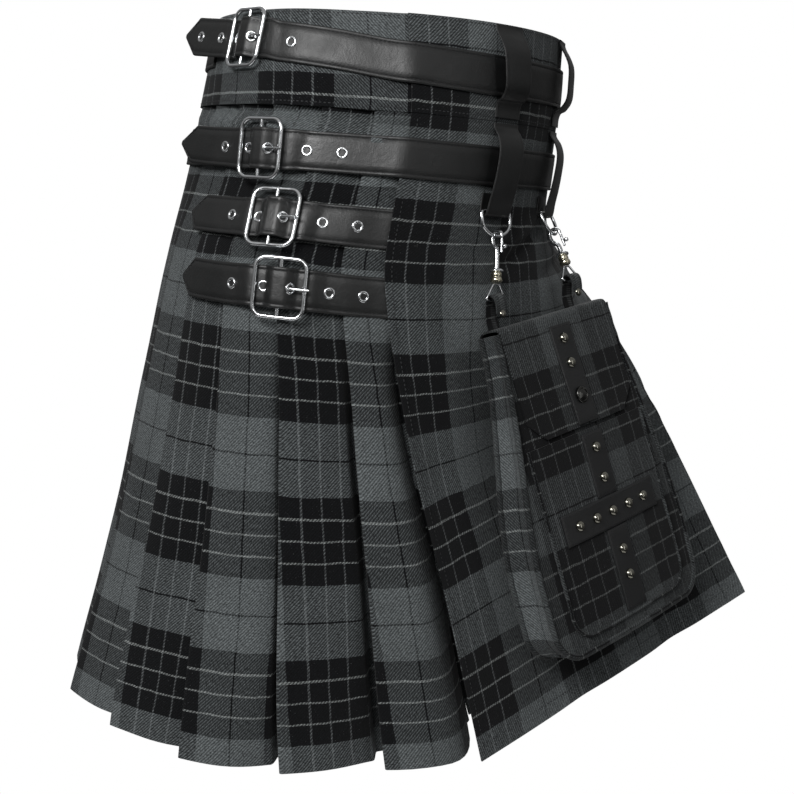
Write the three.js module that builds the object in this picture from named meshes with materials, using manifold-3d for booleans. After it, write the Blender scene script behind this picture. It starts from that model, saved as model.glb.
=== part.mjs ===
// Utility kilt, worn open form: pleated tartan skirt, apron front, four leather straps with
// buckles, four stand-off loops, and a bellows pocket on two swivel snap hooks.
// Millimetres, +Z up, front faces -Y, wearer's right is -X.
import * as THREE from 'three';
import { mergeVertices } from 'three/addons/utils/BufferGeometryUtils.js';
import Module from 'manifold-3d';

const wasm = await Module();
wasm.setup();

// ---- driving dimensions ----
const LENGTH = 600; // waistband top to hem, down the cloth
const BAND = 76; // height of the waistband
const CLOTH = 1.3; // pleat and apron cloth
const BAND_CLOTH = 2.0; // folded waistband
const POCKET_CLOTH = 1.5;
const LEATHER = 2.0;
const THIN_LEATHER = 1.5;
const SEAM = 0.3; // gap between neighbouring pieces
const FRONT_DIP = 20; // how far the front of the waist hangs below the back
const APRON_OVERLAP = 36; // pleats and straps run this far under the apron's open edge
const STRAP_WIDTH = 32;
const WIRE = 3; // D-rings and hooks
const STUD = 9;
const SNAP = 14;

// Rings of the garment. w is the distance down the cloth. Each station is an azimuth in degrees
// from the front (positive to the wearer's left) and a radius: the apron's open edge, the apron
// centre, the crease where the apron meets the pleats, then round the left side and the back.
const RINGS = [
  { w: 0, edge: [-61, 159], front: 156, crease: [72, 159], left: 159, backLeft: 149, back: 143, backRight: 149, right: 160 },
  { w: 76, edge: [-60.5, 168], front: 150, crease: [72, 173], left: 175, backLeft: 166, back: 160, backRight: 166, right: 176 },
  { w: 148, edge: [-65, 175], front: 142, crease: [70, 180], left: 186, backLeft: 182, back: 179, backRight: 181, right: 185 },
  { w: 208, edge: [-67.5, 178], front: 152, crease: [55, 190], left: 196, backLeft: 196, back: 194, backRight: 197, right: 203 },
  { w: 325, edge: [-62, 178], front: 188, crease: [45, 250], left: 204, backLeft: 214, back: 222, backRight: 223, right: 213 },
  { w: 462, edge: [-54, 205], front: 209, crease: [32, 292], left: 226, backLeft: 240, back: 250, backRight: 255, right: 241 },
  { w: 600, edge: [-46.5, 216], front: 230, crease: [24.6, 345], left: 248, backLeft: 270, back: 286, backRight: 295, right: 273 },
];
const BACK_STATIONS = [['left', 98], ['backLeft', 140], ['back', 180], ['backRight', 220], ['right', 262]];
const FLATTEN_FROM = 205; // below this the apron turns from round to flat
const FLATTEN_OVER = 225;

// Knife pleats: tips as fractions of the way back from the apron's open edge.
const PLEATS = 16;
const FIRST_TIP = 0.04;
const TIP_PITCH = 0.0617;
const TIP_DRIFT = 0.016; // the tips drift back a little down the skirt
const PLEAT_DEPTH = [6.5, 23]; // sewn down at the hip, open at the hem
const PLEAT_OPENS = 228;
const EDGE_GAP = 30; // extra depth at the hem beside the apron's open edge
const PLEAT_UNDER = 12; // how far each fold runs under its neighbour
const FOLD_HEIGHT = 2.2;
const SKIRT_LEVELS = [BAND + SEAM, 96, 128, 153, 185, 207, 239, 290, 355, 430, 515, LENGTH];

const smooth = (t) => { const k = Math.min(1, Math.max(0, t)); return k * k * (3 - 2 * k); };
const mix = (a, b, t) => a + (b - a) * t;
const polar = (azimuth, radius) => {
  const a = THREE.MathUtils.degToRad(azimuth);
  return [radius * Math.sin(a), -radius * Math.cos(a)];
};

// Smooth curve through [x, y] knots.
function through(knots, x) {
  let i = 0;
  while (i < knots.length - 2 && x > knots[i + 1][0]) i += 1;
  const slope = (k) => {
    const a = knots[Math.max(0, k - 1)];
    const b = knots[Math.min(knots.length - 1, k + 1)];
    return (b[1] - a[1]) / (b[0] - a[0]);
  };
  const h = knots[i + 1][0] - knots[i][0];
  const t = (x - knots[i][0]) / h;
  const t2 = t * t;
  const t3 = t2 * t;
  return (2 * t3 - 3 * t2 + 1) * knots[i][1] + (t3 - 2 * t2 + t) * slope(i) * h
    + (3 * t2 - 2 * t3) * knots[i + 1][1] + (t3 - t2) * slope(i + 1) * h;
}

const ring = (w, read) => through(RINGS.map((row) => [row.w, read(row)]), w);

// The apron at one level: t runs from its open edge to its crease.
function apronCurve(w, t) {
  const [a0, r0] = [ring(w, (row) => row.edge[0]), ring(w, (row) => row.edge[1])];
  const [a2, r2] = [ring(w, (row) => row.crease[0]), ring(w, (row) => row.crease[1])];
  const r1 = ring(w, (row) => row.front);
  const r = r0 * (1 - t) * (1 - 2 * t) + 4 * r1 * t * (1 - t) + r2 * t * (2 * t - 1);
  const round = polar(mix(a0, a2, t), r);
  const [p, q] = [polar(a0, r0), polar(a2, r2)];
  const k = smooth((w - FLATTEN_FROM) / FLATTEN_OVER);
  return [mix(round[0], mix(p[0], q[0], t), k), mix(round[1], mix(p[1], q[1], t), k)];
}

// The rest of the ring at one level, from the crease round the back to the apron's open edge,
// as evenly spaced points.
function backCurve(w, count) {
  const stations = [polar(ring(w, (row) => row.crease[0]), ring(w, (row) => row.crease[1]))];
  for (const [name, azimuth] of BACK_STATIONS) stations.push(polar(azimuth, ring(w, (row) => row[name])));
  stations.push(polar(ring(w, (row) => row.edge[0]) + 360, ring(w, (row) => row.edge[1])));
  const last = stations.length - 1;
  const axis = (k) => stations.map((point, i) => [i, point[k]]);
  const dense = [];
  for (let i = 0; i <= last * 24; i += 1) dense.push([through(axis(0), i / 24), through(axis(1), i / 24)]);
  const lengths = [0];
  for (let i = 1; i < dense.length; i += 1) {
    lengths.push(lengths[i - 1] + Math.hypot(dense[i][0] - dense[i - 1][0], dense[i][1] - dense[i - 1][1]));
  }
  const points = [];
  let j = 0;
  for (let i = 0; i <= count; i += 1) {
    const want = lengths[lengths.length - 1] * i / count;
    while (j < lengths.length - 2 && lengths[j + 1] < want) j += 1;
    const t = (want - lengths[j]) / (lengths[j + 1] - lengths[j]);
    points.push([mix(dense[j][0], dense[j + 1][0], t), mix(dense[j][1], dense[j + 1][1], t)]);
  }
  return points;
}

// A sheet of cloth hung from the waist: its height comes from its own length, so that nearly every
// line down the cloth keeps its true measure. Returns a function of (w, t).
const LEVEL_STEP = 10;
function hang(curveAt, columns, straightAt = () => 0) {
  const levels = [];
  for (let i = 0; i <= LENGTH / LEVEL_STEP; i += 1) {
    const curve = curveAt(i * LEVEL_STEP, columns);
    levels.push(curve.map(([x, y], j) => {
      if (i === 0) return new THREE.Vector3(x, y, BAND / 2);
      const above = levels[i - 1][j];
      const out = Math.hypot(x - above.x, y - above.y);
      return new THREE.Vector3(x, y, above.z - Math.sqrt(Math.max(LEVEL_STEP ** 2 - out ** 2, LEVEL_STEP ** 2 / 4)));
    }));
  }
  for (const point of levels.flat()) point.z -= FRONT_DIP * (1 + Math.cos(Math.atan2(point.x, -point.y))) / 2;
  levels.forEach((row, i) => {
    const [start, end] = [row[0].z, row[columns].z];
    row.forEach((point, j) => { point.z = mix(point.z, mix(start, end, j / columns), straightAt(i * LEVEL_STEP)); });
  });
  return (w, t) => {
    const u = Math.min(levels.length - 1.001, Math.max(0, w / LEVEL_STEP));
    const v = Math.min(columns - 0.001, Math.max(0, t * columns));
    const [i, j] = [Math.floor(u), Math.floor(v)];
    const upper = levels[i][j].clone().lerp(levels[i][j + 1], v - j);
    const lower = levels[i + 1][j].clone().lerp(levels[i + 1][j + 1], v - j);
    return upper.lerp(lower, u - i);
  };
}

const APRON_COLUMNS = 24;
// Below the hip the apron is a flat panel, so its hem runs straight from its open edge to its crease.
const apronCurves = (w, n) => Array.from({ length: n + 1 }, (_, i) => apronCurve(w, i / n));
const apron = hang(apronCurves, APRON_COLUMNS, (w) => smooth((w - FLATTEN_FROM) / FLATTEN_OVER));
const back = hang(backCurve, 144);

function spanLength(sheet, w) {
  let total = 0;
  for (let i = 0; i < 60; i += 1) total += sheet(w, i / 60).distanceTo(sheet(w, (i + 1) / 60));
  return total;
}

// A point moved inward from a sheet, level, by a depth. Negative depths stand outside it.
function inset(sheet, w, t, depth) {
  const e = 0.004;
  const point = sheet(w, t);
  const along = sheet(w, Math.min(1, t + e)).sub(sheet(w, Math.max(0, t - e)));
  const inward = new THREE.Vector3(-along.y, along.x, 0).normalize();
  return point.addScaledVector(inward, depth);
}

// The garment's outside by x, in millimetres round from the apron's open edge: positive across
// the apron, negative back round the wearer's right side. Past the crease it goes on round.
// Lengths are measured at one level, so that a strap's edges keep step with each other.
function outside(w, x, measuredAt = w) {
  const front = spanLength(apron, measuredAt);
  const rest = spanLength(back, measuredAt);
  if (x >= 0 && x <= front) return apron(w, x / front);
  return back(w, x < 0 ? 1 + x / rest : (x - front) / rest);
}
function frameAt(w, x, measuredAt = w) {
  const e = 7;
  const point = outside(w, x, measuredAt);
  const right = outside(w, x + e, measuredAt).sub(outside(w, x - e, measuredAt)).normalize();
  const down = outside(w + e, x, measuredAt).sub(outside(Math.max(0, w - e), x, measuredAt));
  down.addScaledVector(right, -down.dot(right)).normalize();
  const out = right.clone().cross(down);
  if (out.x * point.x + out.y * point.y < 0) out.negate();
  return { point, right, down, out };
}
const lifted = (w, x, height, measuredAt = w) => {
  const f = frameAt(w, x, measuredAt);
  return f.point.addScaledVector(f.out, height);
};

// ---- solids ----
const group = new THREE.Group();
const tartan = { color: 0x3a3b3d, roughness: 0.9, metalness: 0 };
const tartanDark = { color: 0x26272a, roughness: 0.9, metalness: 0 };
const leather = { color: 0x1b1b1c, roughness: 0.45, metalness: 0 };
const chrome = { color: 0xc9cbcd, roughness: 0.18, metalness: 1 };

function addMesh(name, geometry, look, parent = group) {
  const mesh = new THREE.Mesh(geometry, new THREE.MeshStandardMaterial(look));
  mesh.name = name;
  parent.add(mesh);
  return mesh;
}

function bodyGeometry(positions, triangles) {
  let volume = 0;
  for (const [a, b, c] of triangles) volume += positions[a].dot(positions[b].clone().cross(positions[c]));
  const index = volume < 0 ? triangles.map(([a, b, c]) => [a, c, b]) : triangles;
  const geometry = new THREE.BufferGeometry();
  geometry.setAttribute('position', new THREE.Float32BufferAttribute(positions.flatMap((p) => p.toArray()), 3));
  geometry.setIndex(index.flat());
  return geometry;
}

// One closed body between two grids of points, rows by columns. A looped one joins its last
// column to its first.
function between(front, behind, looped = false) {
  const [rows, columns] = [front.length, front[0].length];
  const positions = [...front.flat(), ...behind.flat()];
  const at = (side, r, c) => side * rows * columns + r * columns + (c % columns);
  const triangles = [];
  const quad = (a, b, c, d) => triangles.push([a, b, c], [a, c, d]);
  const spans = looped ? columns : columns - 1;
  for (let c = 0; c < spans; c += 1) {
    for (let r = 0; r < rows - 1; r += 1) {
      quad(at(0, r, c), at(0, r, c + 1), at(0, r + 1, c + 1), at(0, r + 1, c));
      quad(at(1, r, c), at(1, r + 1, c), at(1, r + 1, c + 1), at(1, r, c + 1));
    }
    quad(at(0, 0, c), at(1, 0, c), at(1, 0, c + 1), at(0, 0, c + 1));
    quad(at(0, rows - 1, c), at(0, rows - 1, c + 1), at(1, rows - 1, c + 1), at(1, rows - 1, c));
  }
  for (let r = 0; r < rows - 1 && !looped; r += 1) {
    quad(at(0, r, 0), at(0, r + 1, 0), at(1, r + 1, 0), at(1, r, 0));
    const c = columns - 1;
    quad(at(0, r, c), at(1, r, c), at(1, r + 1, c), at(0, r + 1, c));
  }
  return bodyGeometry(positions, triangles);
}

// A wall of even thickness about rows of points, offset level by mitred joints.
function wall(rows, thickness) {
  const side = (row, k) => row.map((point, i) => {
    const before = row[Math.max(0, i - 1)];
    const after = row[Math.min(row.length - 1, i + 1)];
    const a = new THREE.Vector2(point.x - before.x, point.y - before.y);
    const b = new THREE.Vector2(after.x - point.x, after.y - point.y);
    if (i === 0) a.copy(b);
    if (i === row.length - 1) b.copy(a);
    a.normalize();
    b.normalize();
    const normal = new THREE.Vector2(-a.y - b.y, a.x + b.x).normalize();
    const reach = 1 / Math.max(0.45, normal.dot(new THREE.Vector2(-a.y, a.x)));
    return new THREE.Vector3(point.x + normal.x * reach * k, point.y + normal.y * reach * k, point.z);
  });
  return between(rows.map((row) => side(row, thickness / 2)), rows.map((row) => side(row, -thickness / 2)));
}

// A band that lies on the garment: profile(x) gives the level of its middle and the height of
// its own middle above the surface.
function band(stations, width, thickness, measuredAt) {
  const row = (dw, dh) => stations.map(({ x, w, h }) => lifted(w + dw * width / 2, x, h + dh, measuredAt));
  return between([row(-1, thickness / 2), row(1, thickness / 2)], [row(-1, -thickness / 2), row(1, -thickness / 2)]);
}

const merged = (geometry) => {
  const bare = geometry.clone();
  bare.deleteAttribute('normal');
  bare.deleteAttribute('uv');
  return mergeVertices(bare, 1e-4);
};
function solid(geometry) {
  const bare = merged(geometry);
  return new wasm.Manifold(new wasm.Mesh({
    numProp: 3,
    vertProperties: new Float32Array(bare.attributes.position.array),
    triVerts: new Uint32Array(bare.index.array),
  }));
}
function fromSolid(manifold) {
  const mesh = manifold.getMesh();
  const geometry = new THREE.BufferGeometry();
  geometry.setAttribute('position', new THREE.BufferAttribute(new Float32Array(mesh.vertProperties), 3));
  geometry.setIndex([...mesh.triVerts]);
  return geometry;
}

// A flat plate cut from a shape, centred on its own thickness.
function plate(shape, thickness) {
  const geometry = new THREE.ExtrudeGeometry(shape, { depth: thickness, bevelEnabled: false, curveSegments: 3 });
  return geometry.translate(0, 0, -thickness / 2);
}
function roundedBox(path, x0, y0, x1, y1, r) {
  path.moveTo(x0 + r, y0);
  path.lineTo(x1 - r, y0);
  path.absarc(x1 - r, y0 + r, r, -Math.PI / 2, 0, false);
  path.lineTo(x1, y1 - r);
  path.absarc(x1 - r, y1 - r, r, 0, Math.PI / 2, false);
  path.lineTo(x0 + r, y1);
  path.absarc(x0 + r, y1 - r, r, Math.PI / 2, Math.PI, false);
  path.lineTo(x0, y0 + r);
  path.absarc(x0 + r, y0 + r, r, Math.PI, Math.PI * 1.5, false);
  return path;
}
function rod(points, radius, steps) {
  const section = new THREE.Shape();
  section.absarc(0, 0, radius, 0, Math.PI * 2, false);
  const extrudePath = new THREE.CatmullRomCurve3(points, false, 'centripetal');
  return new THREE.ExtrudeGeometry(section, { steps, bevelEnabled: false, curveSegments: 3, extrudePath });
}
const basis = (x, y, z, origin) => new THREE.Matrix4().makeBasis(x, y, z).setPosition(origin);

// ---- cloth: waistband, pleats and aprons ----
const half = CLOTH / 2;
function creaseTrim(w, thickness) {
  const a = apron(w, 1).sub(apron(w, 0.97)).setZ(0);
  const b = back(w, 0.01).sub(back(w, 0)).setZ(0);
  return SEAM / 2 + (thickness / 2) * Math.tan(Math.min(2.4, a.angleTo(b)) / 2) + 0.1;
}
const pleatDepth = (w) => mix(PLEAT_DEPTH[0], PLEAT_DEPTH[1], smooth((w - PLEAT_OPENS) / (LENGTH - PLEAT_OPENS)));
// Beside the apron's open edge the cloth falls deeper, so that the edge stands clear of it.
const gapDepth = (w) => pleatDepth(w) + EDGE_GAP * smooth((w - PLEAT_OPENS) / (LENGTH - PLEAT_OPENS));
const tipAt = (k, w) => 1 - (FIRST_TIP + TIP_PITCH * k
  + TIP_DRIFT * smooth((w - PLEAT_OPENS) / (LENGTH - PLEAT_OPENS)) * (1 - k / PLEATS));

// Pleats first to last, as one level's points from the crease end towards the apron's open edge.
function pleatRow(w, first, last) {
  const length = spanLength(back, w);
  const depth = pleatDepth(w);
  const row = [];
  const put = (t, d) => row.push(inset(back, w, t, d));
  const face = (from, to, startsAt, endsAt) => {
    for (const s of [0, 0.33, 0.66, 1]) {
      if (s < startsAt || s > endsAt) continue;
      put(mix(from, to, s), depth * s ** 1.15);
    }
  };
  for (let k = last; k >= first; k -= 1) {
    const tip = tipAt(k, w);
    const from = k === PLEATS - 1 ? creaseTrim(w, CLOTH) / length : tipAt(k + 1, w);
    const under = tip + PLEAT_UNDER / length;
    const whole = k !== last || k === PLEATS - 1;
    if (whole) face(from, under, 0, 1);
    else {
      const cut = mix(from, under, 0.5) + SEAM / 2 / length;
      put(cut, depth * 0.5 ** 1.15);
      face(from, under, 0.6, 1);
    }
    put(under, depth - FOLD_HEIGHT);
    put(tip, FOLD_HEIGHT);
    if (k === first && first > 0) {
      const next = tipAt(first - 1, w) + PLEAT_UNDER / length;
      face(tip, next, 0, 0.4);
      put(mix(tip, next, 0.5) - SEAM / 2 / length, depth * 0.5 ** 1.15);
    } else if (k === first) {
      put(tip, 0);
      put(mix(tip, 1, 0.5), gapDepth(w) * 0.34);
      put(1, gapDepth(w) * 0.85);
      const span = spanLength(apron, w);
      row.push(inset(apron, w, APRON_OVERLAP / span, gapDepth(w) + 0.5));
    }
  }
  return row;
}
const pleatGroups = [['pleats_right', 0, 4], ['pleats_back', 5, 10], ['pleats_left', 11, 15]];
for (const [name, first, last] of pleatGroups) {
  addMesh(name, wall(SKIRT_LEVELS.map((w) => pleatRow(w, first, last)), CLOTH), tartan);
}

function apronRow(w, from, to, steps, depthAt) {
  return Array.from({ length: steps + 1 }, (_, i) => {
    const t = mix(from, to, i / steps);
    return inset(apron, w, t, depthAt(t));
  });
}
const underStart = (w) => (APRON_OVERLAP + SEAM + (gapDepth(w) - pleatDepth(w)) * 0.018) / spanLength(apron, w);
const UNDER_END = 0.93;
const UNDER_DEPTH = 8;
addMesh('front_apron', wall(SKIRT_LEVELS.map((w) => {
  const end = 1 - creaseTrim(w, CLOTH) / spanLength(apron, w);
  return apronRow(w, 0, end, 14, () => 0);
}), CLOTH), tartan);
addMesh('under_apron', wall(SKIRT_LEVELS.map((w) => {
  const start = underStart(w);
  const depth = gapDepth(w) + 0.5;
  return apronRow(w, start, UNDER_END, 10, (t) => mix(depth, UNDER_DEPTH, smooth((t - start) / 0.3)));
}), CLOTH), tartan);

const BAND_LEVELS = [0, 38, BAND];
const BAND_LAP = 3.3; // the inner waistband passes under the apron's by this
addMesh('waistband', wall(BAND_LEVELS.map((w) => {
  const length = spanLength(back, w);
  const start = creaseTrim(w, BAND_CLOTH) / length;
  const row = [];
  for (let i = 0; i <= 36; i += 1) {
    const t = mix(start, 1, i / 36);
    row.push(inset(back, w, t, BAND_LAP * smooth(1 - (1 - t) * length / 26)));
  }
  row.push(inset(apron, w, (APRON_OVERLAP / 2) / spanLength(apron, w), BAND_LAP));
  row.push(inset(apron, w, APRON_OVERLAP / spanLength(apron, w), BAND_LAP));
  return row;
}), BAND_CLOTH), tartan);
addMesh('apron_waistband', wall(BAND_LEVELS.map((w) => {
  const end = 1 - creaseTrim(w, BAND_CLOTH) / spanLength(apron, w);
  return apronRow(w, 0, end, 14, () => 0);
}), BAND_CLOTH), tartan);
addMesh('under_waistband', wall(BAND_LEVELS.map((w) => apronRow(w, underStart(w), UNDER_END, 10, () => BAND_LAP)),
  BAND_CLOTH), tartan);

// ---- straps, chapes, buckles and prongs ----
// x is the buckle's place round from the apron's open edge; tip, how far the point runs past it;
// w, the level of the strap at [x, w] knots. A strap with an end starts under the apron there.
const STRAPS = [
  { name: 'belt_upper', at: 26, buckle: -137, tip: 92, round: true, tipLift: 9,
    levels: [[-260, 20], [-137, 24], [-60, 31], [0, 38], [110, 41], [240, 39], [362, 35], [700, 30], [1000, 24]] },
  { name: 'belt_lower', at: 112, buckle: -112, tip: 96, round: true, tipLift: 5,
    levels: [[-260, 112], [1100, 112]] },
  { name: 'strap_hip', at: 169, buckle: -89, tip: 102, round: false, tipLift: 0, levels: [[-260, 169], [60, 169]] },
  { name: 'strap_low', at: 223, buckle: -82, tip: 110, round: false, tipLift: 0, levels: [[-260, 223], [60, 223]] },
];
const EYELET_PITCH = 26;
const EYELET_HOLE = 4.6;
const BUCKLE = { width: 45, height: 49, wire: 4, thick: 3.4, corner: 8, lift: 6.9 };
const SLACK = 0.6; // leather over cloth
const REST = BAND_CLOTH / 2 + SLACK + LEATHER / 2; // a strap's middle above the cloth's middle
const CHAPE = { length: 58, lift: BAND_CLOTH / 2 + SLACK + THIN_LEATHER / 2, width: 28 };
const OVER_CHAPE = REST + LEATHER + SEAM;
const UNDER_BAR = 3.8; // the strap beneath the buckle's back bar, from the buckle's own plane
const OVER_BAR = BUCKLE.lift + BUCKLE.thick / 2 + SEAM + LEATHER / 2;

// A strap's height at s, measured from its buckle towards the front.
function strapLift(s, strap) {
  const bulge = OVER_BAR * (1 - smooth((Math.abs(s) - 4) / 13));
  const side = s > 0 ? REST : mix(UNDER_BAR, OVER_CHAPE, smooth((-s - 20) / 14));
  const past = strap.tipLift * smooth((-s - 26) / (strap.tip - 26));
  return Math.max(side, bulge) + past;
}

for (const strap of STRAPS) {
  const level = (x) => through(strap.levels, x);
  const front = spanLength(apron, strap.at);
  const around = front + spanLength(back, strap.at);
  const tip = strap.buckle - strap.tip;
  const end = strap.round ? around + strap.buckle - CHAPE.length - SEAM - 2 : 24;
  const near = [];
  for (let s = -strap.tip + 14; s < 52; s += 4.5) near.push(strap.buckle + s);
  const xs = [tip, tip + 3, tip + 14, ...near.slice(1)];
  for (let x = strap.buckle + 56; x < end - 8; x += strap.round ? 14 : 9) xs.push(x);
  xs.push(end);
  if (strap.round) xs.push(-6, 0, 6, front - 6, front, front + 6);
  xs.sort((a, b) => a - b);
  const stations = xs.map((x) => {
    const s = x - strap.buckle;
    const point = Math.min(1, (x - tip) / 14); // the pointed end
    let h = strapLift(s, strap);
    if (!strap.round) h = mix(h, -(half + SEAM + LEATHER / 2 + 0.2), smooth((x + 34) / 34));
    return { x, w: level(x), h, half: (STRAP_WIDTH / 2) * mix(0.18, 1, point) };
  });
  // Next to the buckle the strap is flat in the buckle's own plane.
  const place = frameAt(level(strap.buckle), strap.buckle, strap.at);
  const row = (side, dh) => stations.map(({ x, w, h, half: reach }) => {
    const s = x - strap.buckle;
    const flat = place.point.clone().addScaledVector(place.right, s).addScaledVector(place.down, side * reach)
      .addScaledVector(place.out, h + dh);
    return flat.lerp(lifted(w + side * reach, x, h + dh, strap.at), smooth((Math.abs(s) - 22) / 14));
  });
  const k = LEATHER / 2;
  let body = solid(between([row(-1, k), row(1, k)], [row(-1, -k), row(1, -k)]));

  const matrix = basis(place.right, place.down.clone().negate(), place.out, place.point);
  const prongPath = [[3.9, BUCKLE.lift + 0.4], [9, BUCKLE.lift + 2.6], [16, BUCKLE.lift + 3.5], [24, BUCKLE.lift + 3.5]]
    .map(([s, h]) => new THREE.Vector3(s, 0, h));
  body = body.subtract(solid(rod(prongPath, 2.3, 6).applyMatrix4(matrix)));
  for (const k of [-3, -2, 2, 3]) {
    const x = strap.buckle + 8 + EYELET_PITCH * k;
    if (!strap.round && x > -12) continue;
    const f = frameAt(level(x), x, strap.at);
    const punch = new THREE.CylinderGeometry(EYELET_HOLE / 2, EYELET_HOLE / 2, 30, 10).rotateX(Math.PI / 2);
    body = body.subtract(solid(punch.applyMatrix4(basis(f.right, f.down.clone().negate(), f.out, f.point))));
  }
  addMesh(strap.name, fromSolid(body), leather);

  const chapeStations = [];
  for (let s = -CHAPE.length; s <= -5; s += 8.8) chapeStations.push({ s, h: CHAPE.lift });
  chapeStations.push({ s: 2.5, h: CHAPE.lift + 0.2 }, { s: 4.6, h: CHAPE.lift + 2.2 });
  addMesh(`${strap.name}_chape`, band(chapeStations.map(({ s, h }) => (
    { x: strap.buckle + s, w: level(strap.buckle + s), h })), CHAPE.width, THIN_LEATHER, strap.at), leather);

  const { width, height, wire, thick, corner, lift } = BUCKLE;
  const frame = roundedBox(new THREE.Shape(), -width / 2, -height / 2, width / 2, height / 2, corner);
  for (const [from, to] of [[-width / 2 + wire, -wire / 2], [wire / 2, width / 2 - wire]]) {
    frame.holes.push(roundedBox(new THREE.Path(), from, -height / 2 + wire, to, height / 2 - wire, 3));
  }
  addMesh(`${strap.name}_buckle`, plate(frame, thick).translate(0, 0, lift), chrome).applyMatrix4(matrix);
  addMesh(`${strap.name}_prong`, rod(prongPath, 1.3, 6), chrome).applyMatrix4(matrix);
}

// ---- stand-off loops, D-rings and snap hooks ----
// Loops as [w, height] of the strip's middle, down the garment.
const LOOP_X = [88, 186];
const LOOP_WIDTH = 30;
const upperLoop = [[1.5, 2.4], [5, 2.8], [13, 8], [22, 12], [36, 13], [50, 12.5], [58, 8], [60.5, 4], [66, 2.4], [73, 2.4]];
const RING_BAR = { w: 149, h: 5.9 };
const lowerLoop = [[77.5, 1.9], [81, 2.4], [88, 8], [97, 11.5], [112, 12.5], [128, 12], [141, 10.4], [148.5, 9.5],
  [151.7, 8.4], [152.9, 5.9], [151.7, 3.4], [148.5, 2.3], [140, 2.1], [134, 2.1]];
const loopGeometry = (x, profile) => {
  const row = (side, dh) => profile.map(([w, h], i) => {
    const a = profile[Math.max(0, i - 1)];
    const b = profile[Math.min(profile.length - 1, i + 1)];
    const run = Math.hypot(b[0] - a[0], b[1] - a[1]);
    const f = frameAt(w - dh * (b[1] - a[1]) / run, x);
    return f.point.addScaledVector(f.right, side * LOOP_WIDTH / 2).addScaledVector(f.out, h + dh * (b[0] - a[0]) / run);
  });
  const k = THIN_LEATHER / 2;
  return between([row(-1, k), row(1, k)], [row(-1, -k), row(1, -k)]);
};

// The bellows pocket hangs on a plane in front of the apron. Its frame: x to the wearer's left,
// y up, z out; y = 0 is the top of its front panel.
const POCKET = { heading: -25, lean: 14, roll: 8, across: 24, down: 300, out: 114 };
const POCKET_HALF = [72, 98]; // half width at the top and near the bottom
const POCKET_TOP = 10;
const POCKET_BOTTOM = -256;
const POCKET_DEPTH = [17, 30];
const POCKET_CORNER = 26;
const CROWN = 5;
const [heading, lean, roll] = [POCKET.heading, POCKET.lean, POCKET.roll].map(THREE.MathUtils.degToRad);
const facing = new THREE.Vector3(Math.sin(heading) * Math.cos(lean), -Math.cos(heading) * Math.cos(lean), Math.sin(lean));
const level = new THREE.Vector3(Math.cos(heading), Math.sin(heading), 0);
const fall = new THREE.Vector3(Math.sin(heading) * Math.sin(lean), -Math.cos(heading) * Math.sin(lean), -Math.cos(lean));
const pocketX = level.clone().multiplyScalar(Math.cos(roll)).addScaledVector(fall, -Math.sin(roll));
const pocketY = fall.clone().multiplyScalar(-Math.cos(roll)).addScaledVector(level, -Math.sin(roll));
const pocketAt = level.clone().multiplyScalar(POCKET.across).addScaledVector(fall, POCKET.down)
  .addScaledVector(facing, POCKET.out).add(new THREE.Vector3(0, 0, BAND / 2));
const pocket = new THREE.Group();
pocket.applyMatrix4(basis(pocketX, pocketY, facing, pocketAt));
group.add(pocket);
const inPocket = (x, y, z) => new THREE.Vector3(x, y, z).applyMatrix4(pocket.matrix);

const TAB_X = 50;
const TAB_HALF = 6.5;
const TAB_BAR = { y: POCKET_TOP + 26, z: -POCKET_DEPTH[0] + 6 };
const RING = { inner: 32, outer: 38, drop: 20 };

function dRing() {
  const shape = new THREE.Shape();
  const outer = RING.outer / 2;
  const inner = RING.inner / 2;
  const waist = RING.drop - 13;
  shape.moveTo(-outer, -WIRE / 2);
  shape.lineTo(outer, -WIRE / 2);
  shape.lineTo(outer, waist);
  shape.absellipse(0, waist, outer, 13 + WIRE / 2, 0, Math.PI, false, 0);
  shape.lineTo(-outer, -WIRE / 2);
  const hole = new THREE.Path();
  hole.moveTo(-inner, WIRE / 2);
  hole.lineTo(inner, WIRE / 2);
  hole.lineTo(inner, waist);
  hole.absellipse(0, waist, inner, 13 - WIRE / 2, 0, Math.PI, false, 0);
  hole.lineTo(-inner, WIRE / 2);
  shape.holes.push(hole);
  return plate(shape, WIRE - 0.2);
}

// The hook in its own plane: x out from the garment, y down the hang line from the D-ring's bar.
const HOOK = { throat: 3.6, outer: 5.9, stem: 2.5, thick: 4.2 };
function hookBody(shankEnd) {
  const { throat, outer, stem, thick } = HOOK;
  const arch = RING.drop + 0.4;
  const shape = new THREE.Shape();
  shape.moveTo(-outer, arch);
  shape.absarc(0, arch, outer, Math.PI, Math.PI * 2, false);
  shape.lineTo(outer, arch + 2);
  shape.lineTo(throat, arch + 2);
  shape.lineTo(throat, arch);
  shape.absarc(0, arch, throat, 0, -Math.PI, true);
  shape.lineTo(-throat, arch + 6.5);
  shape.lineTo(stem, arch + 6.5);
  shape.lineTo(stem, shankEnd - stem);
  shape.lineTo(outer, shankEnd - stem);
  shape.lineTo(outer, shankEnd);
  shape.lineTo(-outer, shankEnd);
  shape.lineTo(-outer, arch);
  const barrel = new THREE.CylinderGeometry(4.2, 5, 9, 12).translate(0, shankEnd + 4, 0);
  return fromSolid(solid(plate(shape, thick)).add(solid(barrel)));
}
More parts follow.
